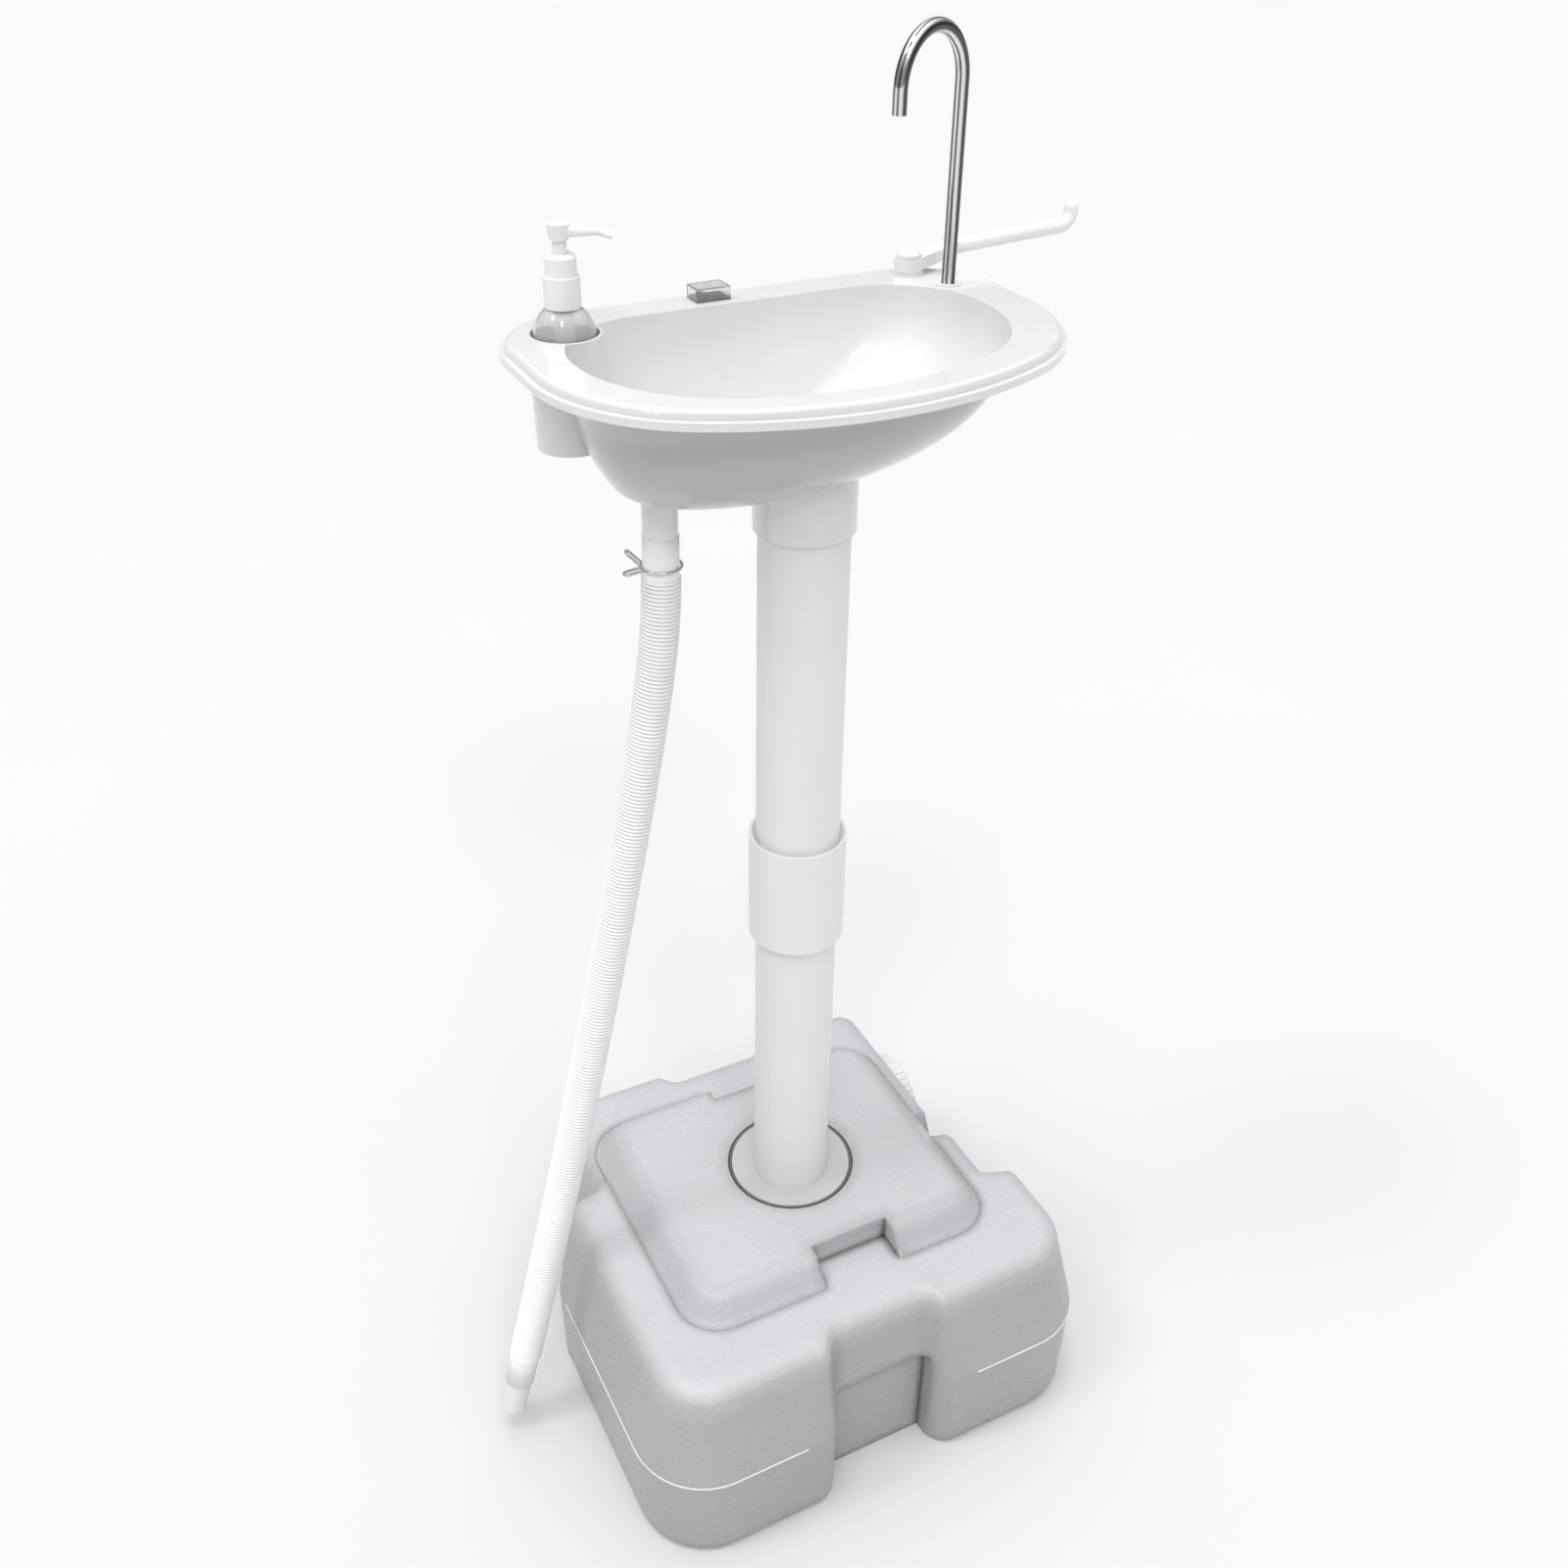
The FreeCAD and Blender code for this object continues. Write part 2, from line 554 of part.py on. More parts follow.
def tank_outline(inset, wall, z):
    """The tank's plan at one height, its outer faces drawn in by the inset.

    It is a rounded block with a hand notch in front and behind. Its rear part is narrower, with a groove
    before the corner that carries the filler. The sides of notches, steps and groove stand upright, so only
    the wall moves them.
    """
    half = S.tank_width.value / 2 - inset
    along = S.tank_depth.value / 2 - inset
    shoulder = S.shoulder_x.value - inset
    stretch = half - S.step_depth.value
    bottom = stretch - S.groove_depth.value
    lean = S.deck_height.value - S.deck_round.value - S.seam_height.value
    rise = min(max((z - S.seam_height.value) / lean, 0), 1)
    deep = along - S.notch_depth.value - (S.notch_top.value - S.notch_depth.value) * rise
    mouth = (S.notch_width.value + S.notch_flare.value) / 2 + wall
    throat = (S.notch_width.value - S.notch_flare.value) / 2 + wall
    right = S.step_right.value - wall
    left = S.step_left.value - wall
    flare = S.step_flare.value
    before = S.groove_y.value - S.groove_width.value / 2 - wall
    behind = S.groove_y.value + S.groove_width.value / 2 + wall
    edge = S.groove_flare.value
    # inner corners grow with the wall, outer ones shrink with the inset
    lobe, crest, lip, heel = (
        max(radius.value - inset, S.least_round.value)
        for radius in (S.lobe_round, S.notch_round, S.notch_root, S.shoulder_round)
    )
    root = S.notch_root.value + wall * INNER_GROWTH
    dip = S.groove_round.value + wall * INNER_GROWTH
    return rounded_wire([
        (-half, -along, lobe),
        (-mouth, -along, crest),
        (-throat, -deep, root),
        (throat, -deep, root),
        (mouth, -along, crest),
        (half, -along, lobe),
        (half, right, crest),
        (stretch, right + flare, root),
        (stretch, before - edge, lip),
        (bottom, before, dip),
        (bottom, behind, dip),
        (shoulder, behind + edge, lip),
        (shoulder, along, heel),
        (mouth, along, crest),
        (throat, deep, root),
        (-throat, deep, root),
        (-mouth, along, crest),
        (-shoulder, along, lobe),
        (-shoulder, left + flare, root),
        (-half, left, crest),
    ], z)


def tank_form(inset):
    """The tank's outside, or with an inset the space inside its wall; both edges are rounded in steps."""
    low_round = S.floor_round.value - inset
    high_round = S.deck_round.value - inset
    low = S.floor_draft.value + inset
    high = S.deck_draft.value + inset
    sections = []
    for step in range(ROUND_STEPS + 1):
        angle = math.pi / 2 * (1 - step / ROUND_STEPS)
        sections.append((low + low_round * (1 - math.cos(angle)), inset + low_round * (1 - math.sin(angle))))
    sections.append((inset, S.seam_height.value))
    for step in range(ROUND_STEPS + 1):
        angle = math.pi / 2 * step / ROUND_STEPS
        level = S.deck_height.value - inset - high_round * (1 - math.sin(angle))
        sections.append((high + high_round * (1 - math.cos(angle)), level))
    return Part.makeLoft([tank_outline(draw, inset, z) for draw, z in sections], True, True)


def plateau_form(inset, foot):
    """The raised plateau, or the space inside it: upright from its foot to the deck, then tapered."""
    wires = []
    for z, draw in ((foot, 0), (S.deck_height.value, 0), (S.top_height.value - inset, S.plateau_slope.value)):
        across = S.plateau_width.value / 2 - draw - inset
        along = S.plateau_depth.value / 2 - draw - inset
        radius = S.plateau_round.value - draw - inset
        signs = ((1, -1), (1, 1), (-1, 1), (-1, -1))
        x, y = S.plateau_x.value, S.plateau_y.value
        wires.append(rounded_wire([(sx * across + x, sy * along + y, radius) for sx, sy in signs], z))
    return Part.makeLoft(wires, True, True)


def end_blocks(name, width, depth, reach, height, x, y, z):
    """Two boxes, one in front of a middle and one behind it."""
    return fuse(
        name,
        box(f"{name}_front", width, depth, height, x, y - reach, z),
        box(f"{name}_back", width, depth, height, x, y + reach, z),
    )


def grips(name, extra):
    """The hand hollows under the carrying beams, open at the floor; extra adds the wall round them."""
    depth = S.notch_depth + S.grip_depth + extra
    reach = S.tank_depth / 2 - depth / 2
    return end_blocks(name, S.grip_width + extra * 2, depth, reach, S.grip_height + extra, 0, 0, 0)


def bites(name, extra):
    """The bites in the plateau's front and back."""
    depth = S.bite_depth + S.plateau_slope + extra
    reach = S.plateau_depth / 2 + S.plateau_slope
    return end_blocks(name, S.bite_width + extra * 2, depth * 2, reach, S.top_height,
                      S.bite_x, S.plateau_y, S.deck_height - extra)


def tank():
    wall = S.tank_wall
    top = S.top_height
    neck_start = S.shoulder_x - S.deck_draft - wall * 2
    neck_length = S.deck_draft + wall * 2 + S.filler_reach
    mouth_ring = cylinder("mouth_ring", S.neck_od, S.neck_depth, 0, 0, top - S.neck_depth)
    neck = cylinder("filler_neck", S.filler_od, neck_length, neck_start, S.filler_y, S.filler_z, SIDEWAYS)
    block = solid("tank_lobes", tank_form(0))
    block_space = solid("lobe_space", tank_form(wall.value))
    plateau = solid("plateau_outside", plateau_form(0, (S.deck_height - S.deck_round).value))
    plateau_space = solid("plateau_inside", plateau_form(wall.value, (S.deck_height - wall).value))
    outside = fuse(
        "tank_outside",
        cut("tank_block", block, grips("grip_hollows", Size.of(0))),
        cut("tank_plateau", plateau, bites("plateau_bites", Size.of(0))),
        neck,
    )
    space = fuse(
        "tank_space",
        block_space,
        cut("plateau_space", plateau_space, bites("bite_walls", wall)),
    )
    walls = fuse("inner_walls", grips("grip_walls", wall), mouth_ring, neck)
    seat = S.lid_thick + S.seal_thick
    hollows = fuse(
        "tank_hollows",
        cut("tank_inside", space, walls),
        cylinder("lid_recess", S.lid_od + S.lid_gap * 2, seat, 0, 0, top - seat),
        cylinder("tank_mouth", S.mouth_bore, S.neck_depth * 2, 0, 0, top - S.neck_depth - S.neck_depth / 2),
        cylinder("filler_way", S.filler_bore, neck_length * 2, neck_start - neck_length / 2,
                 S.filler_y, S.filler_z, SIDEWAYS),
    )
    keep(cut("tank", outside, hollows), "tank_shell")


def column():
    top = S.top_height
    bore = S.tube_od / 2 + S.push_fit
    skirt = S.mouth_bore / 2 - S.thread_gap
    foot = -(S.lid_thick + S.lid_skirt)
    keep(turned("lid", [
        (bore, 0), (S.lid_od / 2, 0), (S.lid_od / 2, -S.lid_thick), (skirt, -S.lid_thick), (skirt, foot),
        (S.lid_pass, foot), (S.lid_pass, -S.socket_depth), (bore, -S.socket_depth),
    ], 0, 0, top), "tank_lid")
    seal_low = top - S.lid_thick - S.seal_thick
    keep(tube("seal_of_lid", S.lid_od, S.mouth_bore, S.seal_thick, 0, 0, seal_low), "lid_seal")

    tube_bore = S.tube_od - S.tube_wall * 2
    lower_start = top - S.socket_depth
    stop_low = S.collar_height + S.collar_length / 2 - S.collar_stop / 2
    stop_high = stop_low + S.collar_stop
    keep(tube("low_tube", S.tube_od, tube_bore, stop_low - lower_start, 0, 0, lower_start), "lower_tube")

    outer = S.collar_od / 2
    mouth = bore + S.collar_flare
    half = S.collar_length / 2
    stop = S.collar_stop / 2
    keep(turned("collar", [
        (bore, -half + S.collar_mouth), (mouth, -half), (outer, -half), (outer, half), (mouth, half),
        (bore, half - S.collar_mouth), (bore, stop), (tube_bore / 2, stop), (tube_bore / 2, -stop),
        (bore, -stop),
    ], 0, 0, S.collar_height + half), "column_collar")

    upper_top = S.rim_height - S.boss_drop + S.boss_depth
    whole = tube("high_tube", S.tube_od, tube_bore, upper_top - stop_high, 0, 0, stop_high)
    passages = fuse(
        "tube_passages",
        solid("riser_passage", riser_route().pipe(S.riser_od.value / 2 + S.grommet_wall.value)),
        solid("lead_passage", switch_lead_route().pipe(S.lead_od.value / 2 + S.grommet_wall.value)),
    )
    keep(cut("pierced_tube", whole, passages), "upper_tube")


class Route:
    """A run of straight lines joined by tangent arcs, each as large as its two lines allow."""

    ARC_SHARE = 0.45

    def __init__(self, spots):
        spots = [Vector(*spot) for spot in spots]
        self.parts = []
        self.radii = []
        here = spots[0]
        for before, corner, after in zip(spots, spots[1:], spots[2:]):
            back = before - corner
            ahead = after - corner
            turn = math.pi - back.getAngle(ahead)
            reach = self.ARC_SHARE * min(back.Length, ahead.Length)
            radius = reach / math.tan(turn / 2)
            back.normalize()
            ahead.normalize()
            inward = (back + ahead).normalize()
            centre = corner + inward * (radius / math.cos(turn / 2))
            start = corner + back * reach
            end = corner + ahead * reach
            self.parts.append(("line", here, start))
            self.parts.append(("arc", start, end, centre, radius, turn))
            self.radii.append(radius)
            here = end
        self.parts.append(("line", here, spots[-1]))
        self.length = sum(self.part_length(part) for part in self.parts)

    @staticmethod
    def part_length(part):
        return (part[2] - part[1]).Length if part[0] == "line" else part[4] * part[5]

    def at(self, distance):
        """The point and the direction at a distance along the route."""
        for part in self.parts:
            span = self.part_length(part)
            if distance <= span or part is self.parts[-1]:
                break
            distance -= span
        if part[0] == "line":
            ahead = (part[2] - part[1]).normalize()
            return part[1] + ahead * distance, ahead
        _, start, end, centre, radius, turn = part
        out = (start - centre).normalize()
        axis = out.cross(end - centre).normalize()
        along = axis.cross(out)
        angle = distance / radius
        spot = centre + out * (radius * math.cos(angle)) + along * (radius * math.sin(angle))
        return spot, along * math.cos(angle) - out * math.sin(angle)

    def wire(self):
        edges = []
        done = 0
        for part in self.parts:
            span = self.part_length(part)
            if part[0] == "line":
                edges.append(Part.LineSegment(part[1], part[2]).toShape())
            else:
                edges.append(Part.Arc(part[1], self.at(done + span / 2)[0], part[2]).toShape())
            done += span
        return Part.Wire(edges)

    def pipe(self, radius):
        start, ahead = self.at(0)
        ring = Part.Wire(Part.Circle(start, ahead, radius).toShape())
        return self.wire().makePipeShell([ring], True, False)


def azimuth(degrees):
    return Vector(math.cos(math.radians(degrees)), math.sin(math.radians(degrees)), 0)


def riser_way():
    """The direction in which the riser stands off the column's axis and leaves it."""
    return azimuth(S.riser_exit.value)


def pump_cover_low():
    """The height of the pump body's upper face, where its cover lies."""
    chambers = S.pump_floor + S.chamber_height + S.partition + S.motor_length + S.flat_gap
    return S.tank_wall + S.strainer_height + chambers


def pump_top():
    return pump_cover_low() + S.cover_thick


def riser_route():
    """Up the column, out behind the bowl and up to the spout's bush."""
    way = riser_way()
    inside = way * S.riser_offset.value
    spout = Vector(S.spout_x.value, S.spout_y.value, 0)
    behind = way * S.riser_swing.value
    beside = (behind + spout) / 2 + Vector(0, S.riser_bulge.value, 0)
    tail = (S.rim_height - S.bush_length).value
    bend = tail + (S.bush_length - S.riser_bend).value
    heights = [bend + (tail - bend) * share for share in RISER_SHARES]
    return Route([
        inside + Vector(0, 0, pump_top().value),
        inside + Vector(0, 0, bend),
        behind + Vector(0, 0, heights[0]),
        beside + Vector(0, 0, heights[1]),
        spout + Vector(0, 0, heights[2]),
        spout + Vector(0, 0, tail),
    ])


def battery_spot():
    """The battery lies against the tube's wall, opposite the riser."""
    offset = (S.tube_od.value - S.battery_od.value) / 2 - S.tube_wall.value - S.flat_gap.value
    return riser_way() * -offset


def battery_foot():
    """The height of the battery's lower end, which hangs with the rim."""
    return S.rim_height - S.battery_height


def switch_lead_route():
    """From the battery's upper end, out behind the bowl and up into the switch."""
    start = battery_spot()
    bend = S.rim_height.value - S.lead_bend.value
    switch = Vector(S.switch_x.value, S.switch_y.value, 0)
    plug = S.rim_height.value - S.body_drop.value
    return Route([
        start + Vector(0, 0, (battery_foot() + S.battery_length).value),
        start + Vector(0, 0, bend),
        switch + Vector(0, 0, bend + (plug - bend) * LEAD_SHARE),
        switch + Vector(0, 0, plug),
    ])


def spokes(name, count, length, width, height, z):
    """Bars across the column's axis, evenly turned."""
    bars = []
    for index in range(count):
        bar = doc.addObject("Part::Box", f"{name}_{index}")
        bind(bar, "Length", length)
        bind(bar, "Width", width)
        bind(bar, "Height", height)
        turn = Rotation(Vector(0, 0, 1), 180 * index / count)
        corner = turn.multVec(Vector(-length.value / 2, -width.value / 2, 0))
        bar.Placement = Placement(corner + Vector(0, 0, z.value), turn)
        bars.append(bar)
    return fuse(name, *bars)


def pump():
    """A submersible pump that stands on the tank's floor under the column."""
    foot = S.tank_wall
    outer = S.strainer_od / 2
    inner = outer - S.strainer_wall
    cage = turned("strainer", [
        (0, 0), (outer, 0), (outer, S.strainer_height), (inner, S.strainer_height),
        (inner, S.strainer_wall), (0, S.strainer_wall),
    ], 0, 0, foot)
    bars = int(S.strainer_slots.value / 2)
    slots = spokes("strainer_slots", bars, S.strainer_od + S.slot_width, S.slot_width,
                   S.strainer_height / 2, foot + S.strainer_height / 3)
    keep(cut("slotted_strainer", cage, slots), "pump_strainer")

    low = foot + S.strainer_height
    chamber_low = low + S.pump_floor
    chamber_top = chamber_low + S.chamber_height
    motor_low = chamber_top + S.partition
    high = pump_cover_low()
    way = riser_way()
    side_x = S.riser_offset * way.x
    side_y = S.riser_offset * way.y
    bearing = S.shaft_od + S.shaft_gap * 2
    drum = cylinder("pump_drum", S.pump_od, high - low, 0, 0, low)
    flange = cylinder("pump_flange", S.strainer_od, S.pump_floor, 0, 0, low)
    hollows = fuse(
        "pump_hollows",
        cylinder("inlet", S.inlet_bore, S.pump_floor, 0, 0, low),
        cylinder("chamber", S.chamber_od, S.chamber_height, 0, 0, chamber_low),
        cylinder("bearing", bearing, S.partition, 0, 0, chamber_top),
        cylinder("motor_room", S.motor_od + S.push_fit * 2, high - motor_low, 0, 0, motor_low),
        cylinder("delivery", S.nipple_bore, high - chamber_low, side_x, side_y, chamber_low),
        delivery_slot(chamber_low),
    )
    keep(cut("pump_body", fuse("pump_solid", drum, flange), hollows), "pump_housing")

    motor = cylinder("motor", S.motor_od, S.motor_length, 0, 0, motor_low)
    shaft_room = cylinder("motor_bearing", bearing, S.shaft_length + S.flat_gap, 0, 0, motor_low)
    keep(cut("motor_case", motor, shaft_room), "pump_motor")

    plate_low = chamber_top - S.flat_gap - S.impeller_plate
    vanes = spokes("vanes", int(S.vane_count.value / 2), S.impeller_od, S.vane_thick, S.vane_height,
                   plate_low - S.vane_height)
    keep(fuse(
        "rotor", vanes,
        cylinder("rotor_plate", S.impeller_od, S.impeller_plate, 0, 0, plate_low),
        cylinder("rotor_hub", S.impeller_hub, S.vane_height, 0, 0, plate_low - S.vane_height),
        cylinder("rotor_shaft", S.shaft_od, motor_low + S.shaft_length - plate_low, 0, 0, plate_low),
    ), "pump_impeller")

    rest = battery_spot()
    lid = cylinder("cover_disc", S.pump_od, S.cover_thick, 0, 0, high)
    nipple = cylinder("pump_nipple", S.nipple_od, S.cover_thick + S.nipple_length, side_x, side_y, high)
    nipple_way = cylinder("nipple_way", S.nipple_bore, S.cover_thick + S.nipple_length, side_x, side_y, high)
    gland = cylinder("pump_gland", S.lead_od, S.cover_thick, rest.x, rest.y, high)
    keep(cut("cover", fuse("cover_solid", lid, nipple), fuse("cover_ways", nipple_way, gland)), "pump_cover")


def delivery_slot(z):
    """The way from the impeller's chamber to the delivery bore."""
    slot = doc.addObject("Part::Box", "delivery_slot")
    bind(slot, "Length", S.riser_offset)
    bind(slot, "Width", S.nipple_bore)
    bind(slot, "Height", S.vane_height)
    way = riser_way()
    turn = Rotation(Vector(1, 0, 0), way)
    corner = turn.multVec(Vector(0, -S.nipple_bore.value / 2, 0))
    slot.Placement = Placement(corner + Vector(0, 0, z.value), turn)
    return slot


def riser_and_leads():
    riser = riser_route()
    hose = solid("riser_outside", riser.pipe(S.riser_od.value / 2))
    bore = solid("riser_hollow", riser.pipe(S.riser_bore.value / 2))
    keep(cut("riser", hose, bore), "riser_hose")
    print("riser length", round(riser.length, 1), "radii", [round(radius, 1) for radius in riser.radii])

    rest = battery_spot()
    start = pump_top()
    foot = battery_foot()
    keep(cylinder("lead_of_pump", S.lead_od, foot - start, rest.x, rest.y, start), "pump_lead")
    battery = cylinder("battery", S.battery_od, S.battery_length, rest.x, rest.y, foot)
    keep(battery, "battery_pack")
    lead = switch_lead_route()
    keep(solid("lead_of_switch", lead.pipe(S.lead_od.value / 2)), "switch_lead")
    print("switch lead length", round(lead.length, 1), "radii", [round(radius, 1) for radius in lead.radii])

    sleeve_outer = S.tube_od + S.grommet_wall * 2
    sleeve_inner = S.tube_od - S.tube_wall * 2 - S.grommet_wall * 2
    for name, route, thick in (("hose_grommet", riser, S.riser_od), ("lead_grommet", lead, S.lead_od)):
        span = S.boss_depth + S.boss_drop
        low = S.rim_height - S.boss_drop - span
        sleeve = tube(f"{name}_sleeve", sleeve_outer, sleeve_inner, span, 0, 0, low)
        fat = solid(f"{name}_outside", route.pipe(thick.value / 2 + S.grommet_wall.value))
        thin = solid(f"{name}_hole", route.pipe(thick.value / 2))
        keep(cut(f"{name}_ring", common(f"{name}_body", sleeve, fat), thin), name)


def d_wire(half, front, back, sweep, shoulder, corner, x, y, z):
    """A D-shaped plan: straight back, round back corners, straight sides and a swept front."""
    sweep_middle = sweep - front
    side = half - shoulder
    level = sweep_middle - math.sqrt((sweep - shoulder) ** 2 - side ** 2)
    shift = Vector(x, y, z)

    def spot(across, along):
        return shift + Vector(across, along, 0)

    tilt = math.atan2(level - sweep_middle, side)
    join = (sweep * math.cos(tilt), sweep_middle + sweep * math.sin(tilt))
    bulge = (side + shoulder * math.cos(tilt / 2), level + shoulder * math.sin(tilt / 2))
    bend = corner * (1 - DIAGONAL)
    run = [
        Part.Arc(spot(-join[0], join[1]), spot(0, -front), spot(*join)),
        Part.Arc(spot(*join), spot(*bulge), spot(half, level)),
        Part.LineSegment(spot(half, level), spot(half, back - corner)),
        Part.Arc(spot(half, back - corner), spot(half - bend, back - bend), spot(half - corner, back)),
        Part.LineSegment(spot(half - corner, back), spot(corner - half, back)),
        Part.Arc(spot(corner - half, back), spot(bend - half, back - bend), spot(-half, back - corner)),
        Part.LineSegment(spot(-half, back - corner), spot(-half, level)),
        Part.Arc(spot(-half, level), spot(-bulge[0], bulge[1]), spot(-join[0], join[1])),
    ]
    return Part.Wire([edge.toShape() for edge in run])


def rim_plate(inset, low, high):
    """A plate with the rim's plan, drawn in by an inset, between two heights."""
    wire = d_wire(
        S.rim_width.value / 2 - inset, S.rim_front.value - inset, S.rim_back.value - inset,
        S.rim_sweep.value - inset, S.rim_shoulder.value - inset, S.rim_corner.value - inset,
        S.rim_shift.value, 0, low,
    )
    return Part.Face(wire).extrude(Vector(0, 0, high - low))


def bowl_form(grow, top, lower):
    """The bowl's inner form, or with a growth its outside; lower moves its floor down."""
    middle = (S.bowl_back.value - S.bowl_front.value) / 2
    depth = S.bowl_depth.value
    wires = [bowl_wire(1.0, 0.0, grow, middle, top)]
    for deep, share, shift in BOWL_SECTIONS:
        wires.append(bowl_wire(share, shift, grow, middle, S.rim_height.value - deep * depth - lower))
    return Part.makeLoft(wires, True, False)


def bowl_wire(share, shift, grow, middle, z):
    reach = (S.bowl_front.value + S.bowl_back.value) / 2 * share + grow
    return d_wire(
        S.bowl_width.value / 2 * share + grow, reach, reach, S.bowl_sweep.value * share + grow,
        S.bowl_shoulder.value * share + grow, S.bowl_corner.value * share + grow,
        S.bowl_offset.value - S.bowl_shift.value * shift, middle + middle * shift, z,
    )


def basin():
    top = S.rim_height
    wall = S.basin_wall
    low = top - S.rim_drop
    step = low + S.lip_height
    upper = rim_plate(S.lip_step.value, step.value, top.value)
    crown = [edge for edge in upper.Edges if edge.BoundBox.ZMin > top.value - 0.01]
    rim = solid("rim_upper", upper.makeFillet(S.rim_round.value, crown))
    lip = solid("rim_lip", rim_plate(0, low.value, step.value))
    inset = (S.lip_step + wall).value
    under = solid("rim_hollow", rim_plate(inset, (low - wall).value, (top - wall).value))
    bowl_outside = solid("bowl_outside", bowl_form(wall.value, (top - wall).value, wall.value))
    bowl_space = solid("bowl_space", bowl_form(0, (top + wall).value, 0))

    cup_outer = S.cup_bore + S.cup_wall * 2
    cup = doc.addObject("Part::Cone", "cup_outside")
    bind(cup, "Radius1", cup_outer / 2 - S.cup_draft)
    bind(cup, "Radius2", cup_outer / 2)
    bind(cup, "Height", S.cup_depth + S.cup_wall)
    place(cup, S.cup_x, S.cup_y, top - S.cup_depth - S.cup_wall)
    cup_bore = doc.addObject("Part::Cone", "cup_bore")
    bind(cup_bore, "Radius1", S.cup_bore / 2 - S.cup_draft / 2)
    bind(cup_bore, "Radius2", S.cup_bore / 2)
    bind(cup_bore, "Height", S.cup_depth + wall)
    place(cup_bore, S.cup_x, S.cup_y, top - S.cup_depth)

    floor = top - S.bowl_depth
    boss_low = top - S.boss_drop
    boss = cylinder("boss", S.boss_od, floor - boss_low + wall * 2, 0, 0, boss_low)
    socket = cylinder("boss_socket", S.tube_od + S.push_fit * 2, S.boss_depth, 0, 0, boss_low)
    step_low = floor - wall - S.spigot_step
    spigot = cylinder("spigot", S.spigot_od, S.spigot_step + wall, S.drain_x, S.drain_y, step_low)
    barb_low = step_low - S.barb_length
    barb = cylinder("barb", S.barb_od, S.barb_length, S.drain_x, S.drain_y, barb_low)
    drain = cylinder("drain_way", S.drain_bore, floor - barb_low + wall, S.drain_x, S.drain_y, barb_low)
    sieve_seat = cylinder("sieve_seat", S.sieve_od + S.push_fit * 2, S.sieve_thick + wall,
                          S.drain_x, S.drain_y, floor - S.sieve_thick)

    plate = cut("rim_shell", fuse("rim", rim, lip), under)
    outside = fuse("basin_outside", plate, bowl_outside, cup, boss, spigot, barb)
    space = cut("bowl_hollow", bowl_space, cup)
    hole_low = top - wall - wall / 2
    holes = fuse(
        "basin_holes", space, cup_bore, socket, drain, sieve_seat,
        cylinder("bush_hole", S.bush_od + S.push_fit * 2, wall * 2, S.spout_x, S.spout_y, hole_low),
        cylinder("pin_hole", S.pin_od + S.push_fit * 2, wall * 2, S.arm_x, S.arm_y, hole_low),
        box("switch_hole", S.body_length + S.push_fit * 2, S.body_depth + S.push_fit * 2, wall * 2,
            S.switch_x, S.switch_y, hole_low),
    )
    keep(cut("moulded_basin", outside, holes), "basin")

    sieve = turned("sieve", [
        (0, 0), (S.sieve_od / 2, 0), (S.sieve_od / 2, S.sieve_thick), (0, S.sieve_thick),
    ], S.drain_x, S.drain_y, floor - S.sieve_thick)
    through = S.sieve_thick * 4
    keep(ring_of_holes(sieve, "sieve", S.sieve_hole, S.sieve_ring, through, S.sieve_holes), "drain_sieve")


def hose_route():
    """The drain hose's route, whose heights keep step with the spigot that it hangs from."""
    top = (S.rim_height - S.bowl_depth - S.basin_wall - S.spigot_step).value
    scale = top / HOSE_ROUTE[0][2]
    return [(x, y, z * scale) for x, y, z in HOSE_ROUTE]


def ribbed_hose():
    """A hose with plain cuffs and ribs between them: a loft through circles along its route."""
    route = Route(hose_route())
    cuff = S.hose_cuff.value
    ribs = int(S.hose_ribs.value)
    pitch = (route.length - 2 * cuff) / ribs
    valley = S.hose_valley.value / 2
    crest = S.hose_od.value / 2
    stations = [(0, valley)]
    for rib in range(ribs):
        start = cuff + rib * pitch
        for share, radius in zip(RIB_SHARES, (valley, crest, crest, valley)):
            stations.append((start + share * pitch, radius))
    stations.append((route.length, valley))

    def ring(distance, radius):
        spot, ahead = route.at(distance)
        circle = Part.Circle(spot, ahead, radius)
        circle.XAxis = Vector(0, 1, 0) - ahead * ahead.y
        return Part.Wire(circle.toShape())

    outer = [ring(distance, radius) for distance, radius in stations]
    bore = S.hose_bore.value / 2
    inner = [ring(distance, bore) for distance, _ in stations[::4] + stations[-1:]]
    skin = Part.makeLoft(outer, False, True)
    lining = Part.makeLoft(inner, False, True)
    ends = [Part.Face(outer[index]).cut(Part.Face(inner[index])).Faces[0] for index in (0, -1)]
    hose = Part.makeSolid(Part.makeShell(skin.Faces + lining.Faces + ends))
    keep(solid("ribbed_hose", hose), "drain_hose")

    end, ahead = route.at(route.length)
    inside = end - ahead * S.outlet_insert.value
    pipe = Part.makeCylinder(S.outlet_od.value / 2, S.outlet_length.value, inside, ahead)
    way = Part.makeCylinder(S.outlet_bore.value / 2, S.outlet_length.value, inside, ahead)
    keep(solid("outlet_pipe", pipe.cut(way)), "hose_outlet")


